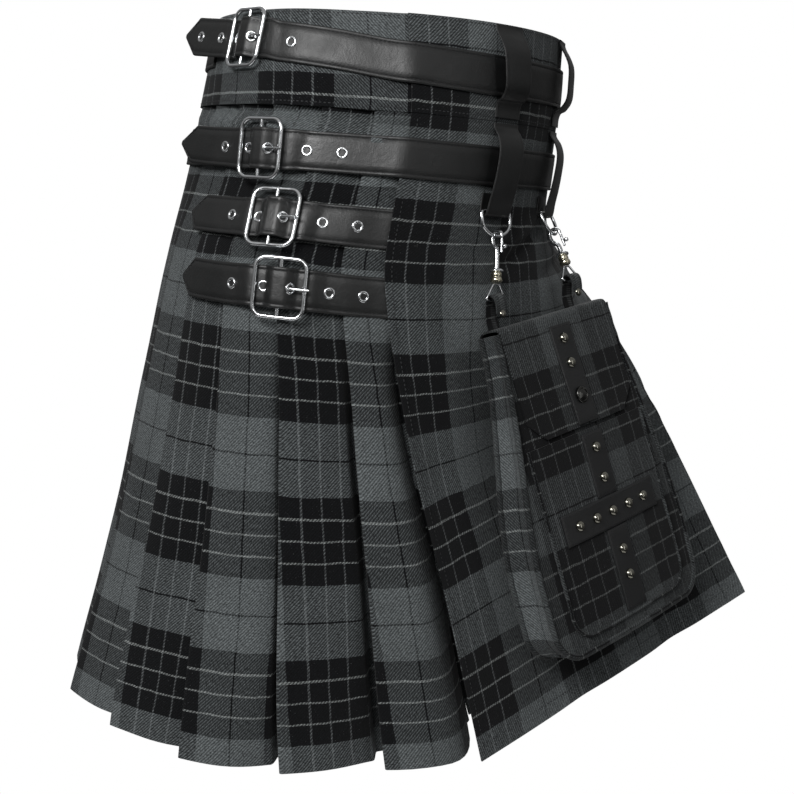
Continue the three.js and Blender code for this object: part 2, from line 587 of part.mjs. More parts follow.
// The bolt closes the crook and slides down against its spring by the thumb knob.
function hookBolt() {
  const top = RING.drop + 0.4 + 2 + SEAM;
  const { throat, outer } = HOOK;
  const knob = outer + 4;
  const outline = [[throat, 0], [outer, 0], [outer, 5], [knob, 5], [knob, 8], [outer, 8], [outer, 11], [throat, 11]];
  return plate(new THREE.Shape(outline.map(([x, y]) => new THREE.Vector2(x, top + y))), 3.2);
}
function hookEye(from, to) {
  const shape = new THREE.Shape();
  shape.moveTo(-4, from);
  shape.lineTo(4, from);
  shape.lineTo(13, to + 1.1);
  shape.lineTo(-13, to + 1.1);
  const hole = new THREE.Path();
  hole.moveTo(-2.6, from + 2.2);
  hole.lineTo(2.6, from + 2.2);
  hole.lineTo(10.6, to - 1.1);
  hole.lineTo(-10.6, to - 1.1);
  shape.holes.push(hole);
  return plate(shape, 2);
}
// A cloth tab from behind the pocket, up and over the eye's lower bar.
const tabProfile = [[-8, -4.2], [0, -4.1], [13, -3.6], [20, -1.4], [25.8, 1], [29.8, 2.8], [31.2, 6], [29.8, 9.6],
  [25.8, 11], [20, 10.2], [16, 9]];

['right', 'left'].forEach((side, i) => {
  const x = LOOP_X[i];
  addMesh(`loop_upper_${side}`, loopGeometry(x, upperLoop), leather);
  addMesh(`loop_lower_${side}`, loopGeometry(x, lowerLoop), leather);
  const bar = lifted(RING_BAR.w, x, RING_BAR.h);
  const tabX = i === 0 ? -TAB_X : TAB_X;
  const eye = inPocket(tabX, TAB_BAR.y, TAB_BAR.z);
  // The ring keeps its bar in the loop's fold; the hook hangs from the ring's arch to the eye.
  const across = frameAt(RING_BAR.w, x).right;
  const ringDown = eye.clone().sub(bar);
  ringDown.addScaledVector(across, -ringDown.dot(across)).normalize();
  const ringFrame = basis(across, ringDown, across.clone().cross(ringDown), bar);
  const arch = bar.clone().addScaledVector(ringDown, RING.drop);
  const down = eye.clone().sub(arch).normalize();
  const origin = arch.clone().addScaledVector(down, -RING.drop);
  const reach = origin.distanceTo(eye);
  const out = across.clone().cross(down).normalize().negate();
  const hookFrame = basis(out, down, out.clone().cross(down), origin);
  const eyeAcross = pocketX.clone().addScaledVector(down, -pocketX.dot(down)).normalize();
  const eyeFrame = basis(eyeAcross, down, eyeAcross.clone().cross(down), origin);
  const shankEnd = reach - 24;
  addMesh(`d_ring_${side}`, dRing(), chrome).applyMatrix4(ringFrame);
  addMesh(`hook_${side}`, hookBody(shankEnd), chrome).applyMatrix4(hookFrame);
  addMesh(`hook_bolt_${side}`, hookBolt(), chrome).applyMatrix4(hookFrame);
  addMesh(`hook_eye_${side}`, hookEye(shankEnd + 8.5 + SEAM, reach), chrome).applyMatrix4(eyeFrame);

  const tabRow = (dx, k) => tabProfile.map(([dy, dz], j) => {
    const a = tabProfile[Math.max(0, j - 1)];
    const b = tabProfile[Math.min(tabProfile.length - 1, j + 1)];
    const run = Math.hypot(b[0] - a[0], b[1] - a[1]);
    return new THREE.Vector3(tabX + dx, POCKET_TOP + dy - k * (b[1] - a[1]) / run,
      -POCKET_DEPTH[0] + dz + k * (b[0] - a[0]) / run);
  });
  const t = POCKET_CLOTH / 2;
  addMesh(`pocket_tab_${side}`, between([tabRow(-TAB_HALF, t), tabRow(TAB_HALF, t)], [tabRow(-TAB_HALF, -t), tabRow(TAB_HALF, -t)]),
    tartanDark, pocket);
});

// ---- bellows pocket ----
const pocketDepth = (y) => mix(POCKET_DEPTH[0], POCKET_DEPTH[1], smooth((POCKET_TOP - y) / 200));
function pocketHalf(y) {
  const side = mix(POCKET_HALF[0], POCKET_HALF[1], smooth((POCKET_TOP - y) / 210));
  const into = POCKET_BOTTOM + POCKET_CORNER - y;
  if (into <= 0) return side;
  return side - POCKET_CORNER + Math.sqrt(Math.max(0, POCKET_CORNER ** 2 - into ** 2));
}
const crown = (x, y) => CROWN * (1 - (x / 100) ** 2) * smooth((POCKET_TOP - y) / 120);
function panel(ys, halfAt, zAt, thickness, columns) {
  const side = (k) => ys.map((y) => Array.from({ length: columns + 1 }, (_, i) => {
    const x = mix(-halfAt(y), halfAt(y), i / columns);
    return new THREE.Vector3(x, y, zAt(x, y) + k);
  }));
  return between(side(thickness / 2), side(-thickness / 2));
}
const cornerYs = [0, 0.3, 0.6, 0.82, 0.95].map((t) => POCKET_BOTTOM + POCKET_CORNER * (1 - t));
const pocketYs = [POCKET_TOP, -40, -100, -160, ...cornerYs];
addMesh('pocket_front', panel(pocketYs, pocketHalf, crown, POCKET_CLOTH, 6), tartan, pocket);
addMesh('pocket_back', panel(pocketYs, pocketHalf, (x, y) => -pocketDepth(y), POCKET_CLOTH, 6), tartanDark, pocket);

// The gusset follows the panels' outline down one side, along the bottom and up the other.
const outline = [];
const insetEdge = 1.2;
for (const y of pocketYs) outline.push([-pocketHalf(y) + insetEdge, y]);
outline.push([-pocketHalf(POCKET_BOTTOM + 1.3) * 0.5, POCKET_BOTTOM + 1.9], [0, POCKET_BOTTOM + 1.9],
  [pocketHalf(POCKET_BOTTOM + 1.3) * 0.5, POCKET_BOTTOM + 1.9]);
for (const y of [...pocketYs].reverse()) outline.push([pocketHalf(y) - insetEdge, y]);
const gussetRows = [0, 0.5, 1].map((t) => outline.map(([x, y]) => {
  const front = crown(x, y) - POCKET_CLOTH / 2 - SEAM;
  const behind = -pocketDepth(y) + POCKET_CLOTH / 2 + SEAM;
  const pinch = t === 0.5 ? 3 : 0;
  return new THREE.Vector3(x - Math.sign(x) * pinch * (y > POCKET_BOTTOM + 4 ? 1 : 0), y, mix(front, behind, t));
}));
addMesh('pocket_gusset', wall(gussetRows, POCKET_CLOTH), tartanDark, pocket);

// The flap wraps over the top from behind and hangs down the front; its lower corners are cut.
const ON_FRONT = POCKET_CLOTH + SEAM;
const FLAP = { half: 70, end: -82, cut: 17, lift: ON_FRONT + 1 };
const flapProfile = [[POCKET_TOP - 3, -POCKET_DEPTH[0] - 2], [POCKET_TOP + 1, -POCKET_DEPTH[0] - 1.8],
  [POCKET_TOP + 3.4, -POCKET_DEPTH[0] + 2], [POCKET_TOP + 3.6, -4], [POCKET_TOP + 2.2, 1], [POCKET_TOP - 4, FLAP.lift - 0.3],
  [-20, FLAP.lift], [-45, FLAP.lift], [FLAP.end + FLAP.cut, FLAP.lift], [FLAP.end, FLAP.lift]];
const flapPoint = (x, i, k) => {
  const [y, z] = flapProfile[i];
  const a = flapProfile[Math.max(0, i - 1)];
  const b = flapProfile[Math.min(flapProfile.length - 1, i + 1)];
  const run = Math.hypot(b[0] - a[0], b[1] - a[1]);
  const rise = y < POCKET_TOP - 3 && z > 0 ? crown(x, y) : 0;
  return new THREE.Vector3(x, y + k * (b[1] - a[1]) / run, z + rise - k * (b[0] - a[0]) / run);
};
const flapSide = (k) => flapProfile.map((_, i) => Array.from({ length: 7 }, (__, c) => {
  const halfWidth = i === flapProfile.length - 1 ? FLAP.half - FLAP.cut : FLAP.half;
  return flapPoint(mix(-halfWidth, halfWidth, c / 6), i, k);
}));
addMesh('pocket_flap', between(flapSide(POCKET_CLOTH / 2), flapSide(-POCKET_CLOTH / 2)), tartan, pocket);

const PATCH = { half: 76, top: -86, bottom: -244, corner: 20 };
function patchHalf(y) {
  const into = PATCH.bottom + PATCH.corner - y;
  if (into <= 0) return PATCH.half;
  return PATCH.half - PATCH.corner + Math.sqrt(Math.max(0, PATCH.corner ** 2 - into ** 2));
}
const patchYs = [PATCH.top, -130, -180, ...[0, 0.35, 0.7, 1].map((t) => PATCH.bottom + PATCH.corner * (1 - t))];
addMesh('pocket_patch', panel(patchYs, patchHalf, (x, y) => crown(x, y) + ON_FRONT, POCKET_CLOTH, 6), tartan, pocket);

// Leather strips and their studs: y from top to bottom, half width, and stud places [x, y].
const STRIP_HALF = 13;
const STRIPS = [
  { name: 'strip_flap', under: FLAP.lift + 0.2, y: [POCKET_TOP - 6, -80], half: STRIP_HALF, studs: [[0, -8], [0, -29]], snap: [0, -57] },
  { name: 'strip_upper', under: ON_FRONT, y: [-89, -143], half: STRIP_HALF, studs: [[0, -102], [0, -128]] },
  { name: 'strip_cross', under: ON_FRONT, y: [-144, -170], half: 62, studs: [-44, -22, 0, 22, 44].map((x) => [x, -157]) },
  { name: 'strip_lower', under: ON_FRONT, y: [-171, -240], half: STRIP_HALF, studs: [[0, -190], [0, -212]] },
];
const ON_PANEL = POCKET_CLOTH / 2 + SEAM + THIN_LEATHER / 2;
function dome(diameter, height) {
  const profile = [new THREE.Vector2(0, 0), new THREE.Vector2(diameter / 2, 0)];
  for (const a of [20, 50]) {
    const angle = THREE.MathUtils.degToRad(a);
    profile.push(new THREE.Vector2(diameter / 2 * Math.cos(angle), height * Math.sin(angle)));
  }
  profile.push(new THREE.Vector2(0, height));
  return new THREE.LatheGeometry(profile, 10).rotateX(Math.PI / 2);
}
for (const strip of STRIPS) {
  const [top, bottom] = strip.y;
  const zAt = (x, y) => crown(x, y) + strip.under + ON_PANEL;
  const ys = Array.from({ length: 5 }, (_, i) => mix(top, bottom, i / 4));
  addMesh(strip.name, panel(ys, () => strip.half, zAt, THIN_LEATHER, 4), leather, pocket);
  const seat = (x, y) => zAt(x, y) + THIN_LEATHER / 2 + SEAM;
  strip.studs.forEach(([x, y], i) => {
    addMesh(`${strip.name}_stud_${i + 1}`, dome(STUD, 3), chrome, pocket).position.set(x, y, seat(x, y));
  });
  if (strip.snap) {
    const [x, y] = strip.snap;
    addMesh('flap_snap', dome(SNAP, 3.4), chrome, pocket)
      .position.set(x, y, seat(x, y) + 0.2);
  }
}

export default group;
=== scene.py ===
"""Looks of a utility kilt: tartan cloth, leather straps, chrome buckles and a bellows pocket.

The garment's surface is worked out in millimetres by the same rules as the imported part, and every
mesh is turned into metres as it is made. +Z is up, the wearer's front is -Y and their right is -X.
"""

import math

import bpy
import numpy as np
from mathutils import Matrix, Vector


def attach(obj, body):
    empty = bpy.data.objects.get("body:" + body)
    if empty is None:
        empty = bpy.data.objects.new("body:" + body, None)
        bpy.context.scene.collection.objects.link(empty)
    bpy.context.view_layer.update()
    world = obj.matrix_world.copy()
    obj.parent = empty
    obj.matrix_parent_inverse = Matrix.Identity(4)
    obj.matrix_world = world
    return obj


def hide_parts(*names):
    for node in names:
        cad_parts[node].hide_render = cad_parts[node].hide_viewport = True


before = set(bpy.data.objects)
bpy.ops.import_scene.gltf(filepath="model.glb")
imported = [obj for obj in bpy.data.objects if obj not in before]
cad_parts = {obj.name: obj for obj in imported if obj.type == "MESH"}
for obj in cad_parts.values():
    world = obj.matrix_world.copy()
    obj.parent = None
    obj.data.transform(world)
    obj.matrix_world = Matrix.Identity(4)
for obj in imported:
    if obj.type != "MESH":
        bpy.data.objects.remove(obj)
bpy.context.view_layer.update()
MM = 0.001

# ---- driving dimensions, as in the part ----
LENGTH = 600
BAND = 76
CLOTH = 1.3
BAND_CLOTH = 2.0
POCKET_CLOTH = 1.5
LEATHER = 2.0
THIN_LEATHER = 1.5
SEAM = 0.3
FRONT_DIP = 20
APRON_OVERLAP = 36
STRAP_HALF = 16
WIRE = 3
STUD = 9

RING_KEYS = ["w", "edge_az", "edge_r", "front", "crease_az", "crease_r",
             "left", "back_left", "back", "back_right", "right"]
RINGS = np.array([
    [0, -61, 159, 156, 72, 159, 159, 149, 143, 149, 160],
    [76, -60.5, 168, 150, 72, 173, 175, 166, 160, 166, 176],
    [148, -65, 175, 142, 70, 180, 186, 182, 179, 181, 185],
    [208, -67.5, 178, 152, 55, 190, 196, 196, 194, 197, 203],
    [325, -62, 178, 188, 45, 250, 204, 214, 222, 223, 213],
    [462, -54, 205, 209, 32, 292, 226, 240, 250, 255, 241],
    [600, -46.5, 216, 230, 24.6, 345, 248, 270, 286, 295, 273],
], float)
BACK_STATIONS = [("left", 98), ("back_left", 140), ("back", 180), ("back_right", 220), ("right", 262)]
FLATTEN_FROM, FLATTEN_OVER = 205, 225
PLEATS = 16
FIRST_TIP, TIP_PITCH, TIP_DRIFT = 0.04, 0.0617, 0.016
PLEAT_DEPTH = (6.5, 23)
PLEAT_OPENS = 228
EDGE_GAP = 30
PLEAT_UNDER = 12
FOLD_HEIGHT = 2.2
# How far sewn walls reach past their joint.
SEWN = 0.15

# The tartan: a dark band with three light lines, then a grey band with one dark line.
DARK, GREY = 66, 57
SETT = DARK + GREY
TWILL = 2.7


def smooth(t):
    k = np.clip(t, 0, 1)
    return k * k * (3 - 2 * k)


def mix(a, b, t):
    return a + (b - a) * t


def opened(w):
    """How far the pleats have opened at a level: 0 above, and 1 at the hem."""
    return smooth((w - PLEAT_OPENS) / (LENGTH - PLEAT_OPENS))


def flattened(w):
    """How far the apron is flat at a level, rather than round."""
    return smooth((w - FLATTEN_FROM) / FLATTEN_OVER)


def run_length(path):
    """The length along a path at each of its points."""
    return np.concatenate([[0], np.cumsum(np.linalg.norm(np.diff(path, axis=0), axis=1))])


def polar(azimuth, radius):
    a = np.radians(azimuth)
    return np.stack([radius * np.sin(a), -radius * np.cos(a)], -1)


def through(xs, ys, x):
    """Smooth curve through knots."""
    xs, ys, x = (np.asarray(v, float) for v in (xs, ys, x))
    before = np.maximum(np.arange(len(xs)) - 1, 0)
    after = np.minimum(np.arange(len(xs)) + 1, len(xs) - 1)
    slope = (ys[after] - ys[before]) / (xs[after] - xs[before])
    i = np.clip(np.searchsorted(xs, x, side="right") - 1, 0, len(xs) - 2)
    h = xs[i + 1] - xs[i]
    t = (x - xs[i]) / h
    t2, t3 = t * t, t * t * t
    return ((2 * t3 - 3 * t2 + 1) * ys[i] + (t3 - 2 * t2 + t) * slope[i] * h
            + (3 * t2 - 2 * t3) * ys[i + 1] + (t3 - t2) * slope[i + 1] * h)


def ring(w, key):
    return float(through(RINGS[:, 0], RINGS[:, RING_KEYS.index(key)], w))


def apron_curve(w, columns):
    t = np.linspace(0, 1, columns + 1)
    a0, r0, a2, r2 = (ring(w, key) for key in ("edge_az", "edge_r", "crease_az", "crease_r"))
    r = r0 * (1 - t) * (1 - 2 * t) + 4 * ring(w, "front") * t * (1 - t) + r2 * t * (2 * t - 1)
    p, q = polar(a0, r0), polar(a2, r2)
    straight = p + (q - p) * t[:, None]
    return mix(polar(mix(a0, a2, t), r), straight, flattened(w))


def back_curve(w, columns):
    stations = [polar(ring(w, "crease_az"), ring(w, "crease_r"))]
    stations += [polar(azimuth, ring(w, key)) for key, azimuth in BACK_STATIONS]
    stations.append(polar(ring(w, "edge_az") + 360, ring(w, "edge_r")))
    stations = np.array(stations)
    knots = np.arange(len(stations))
    fine = np.linspace(0, len(stations) - 1, (len(stations) - 1) * 24 + 1)
    dense = np.stack([through(knots, stations[:, k], fine) for k in (0, 1)], -1)
    lengths = run_length(dense)
    want = np.linspace(0, lengths[-1], columns + 1)
    return np.stack([np.interp(want, lengths, dense[:, k]) for k in (0, 1)], -1)


LEVEL_STEP = 10
LEVELS = np.arange(0, LENGTH + LEVEL_STEP, LEVEL_STEP)


class Sheet:
    """A sheet of cloth hung from the waist, whose height comes from its own length."""

    def __init__(self, curve_at, columns, straight_at=None):
        rows = []
        for w in LEVELS:
            xy = curve_at(w, columns)
            if not rows:
                z = np.full(len(xy), BAND / 2)
            else:
                out = np.linalg.norm(xy - rows[-1][:, :2], axis=1)
                z = rows[-1][:, 2] - np.sqrt(np.maximum(LEVEL_STEP ** 2 - out ** 2, LEVEL_STEP ** 2 / 4))
            rows.append(np.column_stack([xy, z]))
        self.grid = np.array(rows)
        around = np.arctan2(self.grid[..., 0], -self.grid[..., 1])
        self.grid[..., 2] -= FRONT_DIP * (1 + np.cos(around)) / 2
        if straight_at is not None:
            z = self.grid[..., 2]
            line = mix(z[:, :1], z[:, -1:], np.linspace(0, 1, columns + 1))
            self.grid[..., 2] = mix(z, line, straight_at(LEVELS)[:, None])
        self.columns = columns
        self.spans = np.linalg.norm(np.diff(self.grid, axis=1), axis=2).sum(1)

    def at(self, w, t):
        w, t = np.broadcast_arrays(np.asarray(w, float), np.asarray(t, float))
        u = np.clip(w / LEVEL_STEP, 0, len(LEVELS) - 1.001)
        v = np.clip(t * self.columns, 0, self.columns - 0.001)
        i, j = u.astype(int), v.astype(int)
        f, g = (u - i)[..., None], (v - j)[..., None]

        def row(k):
            k = np.clip(k, 0, len(LEVELS) - 1)
            return mix(self.grid[k, j], self.grid[k, j + 1], g)

        a, b, c, d = row(i - 1), row(i), row(i + 1), row(i + 2)
        return b + f * ((c - a) / 2 + f * (a - 2.5 * b + 2 * c - d / 2 + f * (1.5 * (b - c) + (d - a) / 2)))

    def span(self, w):
        return np.interp(w, LEVELS, self.spans)

    def inset(self, w, t, depth):
        """A point moved level and inward by a depth. Negative depths stand outside."""
        e = 0.004
        along = self.at(w, np.minimum(1, np.asarray(t) + e)) - self.at(w, np.maximum(0, np.asarray(t) - e))
        inward = np.stack([-along[..., 1], along[..., 0], np.zeros(along.shape[:-1])], -1)
        inward /= np.linalg.norm(inward, axis=-1, keepdims=True)
        return self.at(w, t) + inward * np.asarray(depth, float)[..., None]


apron = Sheet(apron_curve, 96, flattened)
back = Sheet(back_curve, 432)


def outside(w, x, measured_at=None):
    """The garment's outside, x millimetres round from the apron's open edge, as in the part."""
    w, x = np.broadcast_arrays(np.asarray(w, float), np.asarray(x, float))
    at = w if measured_at is None else measured_at
    front, rest = apron.span(at), back.span(at)
    on_apron = (x >= 0) & (x <= front)
    t = np.where(x < 0, 1 + x / rest, (x - front) / rest)
    return np.where(on_apron[..., None], apron.at(w, x / front), back.at(w, t))


def unit(v):
    return v / np.linalg.norm(v, axis=-1, keepdims=True)


def facing(normal, way):
    """Normals, turned round where they point away from a direction."""
    return np.where((normal * way).sum(-1, keepdims=True) < 0, -normal, normal)


def frame_at(w, x, measured_at=None):
    """A place on the garment's outside: its point, and the directions right, down and out."""
    e = 7
    w = np.asarray(w, float)
    point = outside(w, x, measured_at)
    right = unit(outside(w, x + e, measured_at) - outside(w, x - e, measured_at))
    down = outside(w + e, x, measured_at) - outside(np.maximum(0, w - e), x, measured_at)
    down = unit(down - right * (down * right).sum(-1, keepdims=True))
    return point, right, down, facing(np.cross(right, down), point * [1, 1, 0])


def lifted(w, x, height, measured_at=None):
    point, _, _, out = frame_at(w, x, measured_at)
    return point + out * np.asarray(height, float)[..., None]


# ---- materials ----
def srgb(*values):
    return [((v / 255 + 0.055) / 1.055) ** 2.4 if v > 10 else v / 255 / 12.92 for v in values] + [1]


class Nodes:
    """Short hand for the node tree of a material or a world."""

    def __init__(self, owner, shader="Principled BSDF"):
        owner.use_nodes = True
        self.owner = owner
        self.tree = owner.node_tree
        self.shader = self.tree.nodes[shader]

    def add(self, kind, values=None, **settings):
        node = self.tree.nodes.new(kind)
        for key, value in settings.items():
            setattr(node, key, value)
        for key, value in (values or {}).items():
            self.put(node.inputs[key], value)
        return node

    def put(self, socket, value):
        if isinstance(value, bpy.types.NodeSocket):
            self.tree.links.new(value, socket)
        else:
            socket.default_value = value

    def set(self, **values):
        for key, value in values.items():
            self.put(self.shader.inputs[key.replace("_", " ")], value)

    def where(self):
        return self.add("ShaderNodeTexCoord").outputs["Object"]

    def math(self, operation, a, b=0.0, c=0.0):
        return self.add("ShaderNodeMath", {0: a, 1: b, 2: c}, operation=operation).outputs[0]

    def scaled(self, vector, by):
        return self.add("ShaderNodeVectorMath", {0: vector, 1: by}, operation="MULTIPLY").outputs[0]

    def blend(self, share, a, b, how="MIX"):
        return self.add("ShaderNodeMix", {0: share, 6: a, 7: b}, data_type="RGBA", blend_type=how).outputs[2]

    def shade(self, colour, share):
        """A colour made lighter or darker; a share of 1 leaves it as it is."""
        grey = self.add("ShaderNodeCombineColor", {0: share, 1: share, 2: share}).outputs[0]
        return self.blend(1.0, colour, grey, "MULTIPLY")

    def spread(self, value, low, high, start=0.3, end=0.7, how="LINEAR"):
        """A value that goes from low to high while the given one goes from start to end."""
        values = {"Value": value, "From Min": start, "From Max": end, "To Min": low, "To Max": high}
        return self.add("ShaderNodeMapRange", values, interpolation_type=how).outputs[0]

    def noise(self, vector, scale, detail=3.0, roughness=0.6):
        values = {"Vector": vector, "Scale": scale, "Detail": detail, "Roughness": roughness}
        return self.add("ShaderNodeTexNoise", values).outputs["Fac"]

    def bump(self, height, distance, strength=0.5, **normal):
        values = {"Height": height, "Distance": distance, "Strength": strength, **normal}
        return self.add("ShaderNodeBump", values).outputs["Normal"]


# Half a light or dark line's width.
LINE = 0.8
# Upright light lines are fainter than level ones.
TARTAN_COLOURS = {"dark": (8, 9, 11), "grey": (82, 86, 87), "level": (112, 115, 114), "upright": (92, 95, 96)}
LINT = (150, 152, 154)


def stripe_ramp(n, coordinate, dark, grey, light):
    """The sett's colour along one direction, from a coordinate in millimetres."""
    ramp = n.add("ShaderNodeValToRGB", {"Fac": n.math("FRACT", n.math("DIVIDE", coordinate, SETT))})
    ramp.color_ramp.interpolation = "CONSTANT"
    stops = [(0, dark)]
    for quarter in (1, 2, 3):
        stops += [(DARK * quarter / 4 - LINE, light), (DARK * quarter / 4 + LINE, dark)]
    stops += [(DARK, grey), (DARK + GREY / 2 - LINE, dark), (DARK + GREY / 2 + LINE, grey)]
    elements = ramp.color_ramp.elements
    while len(elements) < len(stops):
        elements.new(0.5)
    for element, (place, colour) in zip(elements, stops):
        element.position = place / SETT
        element.color = colour
    return ramp.outputs["Color"]


def tartan_material(name, light=1.0):
    n = Nodes(bpy.data.materials.new(name))
    uv = n.add("ShaderNodeUVMap", uv_map="cloth").outputs["UV"]
    millimetres = n.scaled(uv, (1000, 1000, 1000))
    shift = n.math("MULTIPLY", n.math("SUBTRACT", n.noise(millimetres, 0.05, 2.0), 0.5), 2.4)
    split = n.add("ShaderNodeSeparateXYZ", {0: millimetres}).outputs
    # A light below 1 darkens every colour of the sett evenly, which makes a shaded copy of the cloth: its
    # darkness is painted shade.
    dark, grey, level, upright = (srgb(*(light * c for c in rgb)) for rgb in TARTAN_COLOURS.values())

    def yarn(coordinate, line, stretch):
        """Striped yarn of mixed fibres: lighter and darker flecks, long along the yarn."""
        stripes = stripe_ramp(n, n.math("ADD", coordinate, shift), dark, grey, line)
        return n.shade(stripes, n.spread(n.noise(n.scaled(millimetres, stretch), 0.85, 2.0), 0.3, 1.7))

    phase = n.math("FRACT", n.math("DIVIDE", n.math("ADD", split[0], split[1]), TWILL))
    rib = n.math("PINGPONG", phase, 0.5)
    over = n.math("SMOOTH_MIN", n.math("MULTIPLY", rib, 6.0), 1.0, 0.3)
    over = n.add("ShaderNodeClamp", {"Value": n.math("SUBTRACT", over, 0.25)}).outputs[0]
    colour = n.blend(over, yarn(split[0], upright, (1, 0.4, 1)), yarn(split[1], level, (0.4, 1, 1)))
    # The twill's ribs are painted up to 1.5 times lighter along their crests and darkened to 0.4 in the
    # grooves between them: painted highlight and painted shade, on top of the ribs' bump.
    twill_painted_shading = n.math("PINGPONG", n.math("ADD", phase, 0.25), 0.5)
    colour = n.shade(colour, n.spread(twill_painted_shading, 0.4, 1.5, 0.0, 0.5))
    worn = n.spread(n.noise(millimetres, 0.018, 4.0), 0.86, 1.14)
    lint = n.math("GREATER_THAN", n.noise(millimetres, 0.9, 1.0), 0.74)
    colour = n.blend(n.math("MULTIPLY", lint, 0.22), n.shade(colour, worn), srgb(*LINT))
    threads = n.math("MULTIPLY", n.noise(millimetres, 1.1, 2.0), 0.8)
    height = n.math("ADD", n.math("MULTIPLY", rib, 1.2), threads)
    n.set(Base_Color=colour, Roughness=0.92, Normal=n.bump(height, 0.0003, 0.55),
          Sheen_Weight=0.05, Sheen_Roughness=0.6, Specular_IOR_Level=0.12)
    return n.owner


def leather_material(name, base):
    n = Nodes(bpy.data.materials.new(name))
    where = n.where()
    pores = n.add("ShaderNodeTexVoronoi", {"Vector": where, "Scale": 900.0}, feature="SMOOTH_F1")
    wrinkle = n.noise(where, 160.0, 5.0, 0.65)
    patch = n.noise(where, 26.0)
    colour = n.blend(n.math("MULTIPLY", patch, 0.5), srgb(*base), srgb(*(c + 10 for c in base)))
    fine = n.bump(pores.outputs["Distance"], 0.00012)
    n.set(Base_Color=colour, Roughness=n.spread(patch, 0.39, 0.58), Specular_IOR_Level=0.58,
          Normal=n.bump(wrinkle, 0.0007, Normal=fine))
    return n.owner


def metal_material(name, base, rough):
    n = Nodes(bpy.data.materials.new(name))
    smear = n.noise(n.where(), 120.0, 4.0)
    colour = n.blend(n.math("MULTIPLY", smear, 0.25), srgb(*base), srgb(*(c * 0.8 for c in base)))
    n.set(Base_Color=colour, Metallic=1.0, Roughness=n.spread(smear, rough * 0.7, rough * 1.5))
    return n.owner


def thread_material(name, base):
    n = Nodes(bpy.data.materials.new(name))
    values = {"Vector": n.where(), "Scale": 900.0}
    twist = n.add("ShaderNodeTexWave", values, bands_direction="DIAGONAL").outputs["Fac"]
    colour = n.blend(n.math("MULTIPLY", twist, 0.5), srgb(*base), srgb(*(c + 26 for c in base)))
    n.set(Base_Color=colour, Roughness=0.7, Normal=n.bump(twist, 0.0002))
    return n.owner


# Each finish is a material with its slot in the record.
TARTAN = tartan_material("tartan"), "tartan"
# The pocket's cloth is this tartan with every colour darkened to 0.72: painted shade, because the pocket
# faces away from the key light.
TARTAN_POCKET_PAINTED_SHADE = tartan_material("tartan_pocket_painted_shade", 0.72), "tartan"
LEATHER_BLACK = leather_material("black_leather", (10, 11, 11)), "leather"
LEATHER_MATT = leather_material("black_leather_strip", (13, 14, 15)), "leather"
CHROME = metal_material("chrome", (226, 228, 230), 0.17), "chrome"
BRASS = metal_material("barrel_brass", (206, 200, 178), 0.2), "chrome"
STUD_METAL = metal_material("stud_nickel", (142, 140, 130), 0.14), "chrome"
SNAP_METAL = metal_material("snap_dark", (74, 74, 72), 0.22), "chrome"
THREAD_BLACK = thread_material("black_thread", (16, 16, 18)), "leather"
THREAD_GREY = thread_material("grey_thread", (24, 25, 27)), "tartan"


# ---- meshes ----
def add_object(name, data):
    made = bpy.data.objects.new(name, data)
    bpy.context.scene.collection.objects.link(made)
    return made


def new_mesh(name, points, faces):
    mesh = bpy.data.meshes.new(name)
    mesh.from_pydata((np.asarray(points, float) * MM).tolist(), [], [list(map(int, f)) for f in faces])
    return mesh


def make(name, shape, finish, uv=None, body="root", sharp=50):
    """A piece of points, in millimetres, and faces. It replaces the part's node of its name, if any.

    uv is in millimetres too: a pair for each point, or for each point of one of a wall's two sides.
    """
    points, faces = shape
    mesh = new_mesh(name, points, faces)
    if uv is not None:
        uv = np.resize(uv, (len(points), 2))
        corners = np.zeros(len(mesh.loops), np.int32)
        mesh.loops.foreach_get("vertex_index", corners)
        mesh.uv_layers.new(name="cloth").data.foreach_set("uv", (uv[corners] * MM).ravel())
    material, slot = finish
    mesh.materials.append(material)
    mesh.shade_smooth()
    mesh.set_sharp_from_angle(angle=math.radians(sharp))
    piece = add_object(name, mesh)
    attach(piece, body)
    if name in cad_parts:
        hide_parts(name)
    return piece


def grid_faces(rows, columns, start=0, flip=False, looped=False):
    r, c = np.meshgrid(np.arange(rows - 1), np.arange(columns if looped else columns - 1), indexing="ij")
    above, below, after = r * columns, (r + 1) * columns, (c + 1) % columns
    quads = np.stack([above + c, above + after, below + after, below + c], -1).reshape(-1, 4) + start
    return quads[:, ::-1] if flip else quads


def between(front, behind):
    """Points and faces of one closed body between two grids of points."""
    rows, columns = front.shape[:2]
    size = rows * columns
    points = np.concatenate([front.reshape(-1, 3), behind.reshape(-1, 3)])
    faces = [grid_faces(rows, columns), grid_faces(rows, columns, size, flip=True)]
    c, low = np.arange(columns - 1), size - columns
    r, far = np.arange(rows - 1) * columns, columns - 1
    for a, b in ((c + 1, c), (c + low, c + low + 1), (r, r + columns), (r + columns + far, r + far)):
        faces.append(np.stack([a, b, b + size, a + size], -1))
    faces = np.concatenate(faces)
    a, b, c, d = (points[faces[:, k]] for k in range(4))
    volume = (np.cross(a, b) * c).sum() + (np.cross(a, c) * d).sum()
    return points, faces[:, ::-1] if volume < 0 else faces


def wall(rows, thickness):
    """Both sides of a wall of even thickness about rows of points, offset level by mitred joints."""
    step = unit(np.diff(rows[..., :2], axis=1))
    before = np.concatenate([step[:, :1], step], 1)
    after = np.concatenate([step, step[:, -1:]], 1)
    normal = unit(np.stack([-(before + after)[..., 1], (before + after)[..., 0]], -1))
    reach = 1 / np.maximum(0.45, (normal * np.stack([-before[..., 1], before[..., 0]], -1)).sum(-1))
    offset = np.zeros(rows.shape)
    offset[..., :2] = normal * reach[..., None] * thickness / 2
    return rows + offset, rows - offset


def cloth_piece(name, rows, uv, thickness, bulk=None):
    """A cloth wall about rows of points; bulk is extra thickness inwards, one value a row."""
    front, behind = wall(rows, thickness)
    if bulk is not None:
        front = front + unit(front - behind) * bulk[:, None, None]
    make(name, between(front, behind), TARTAN, uv)


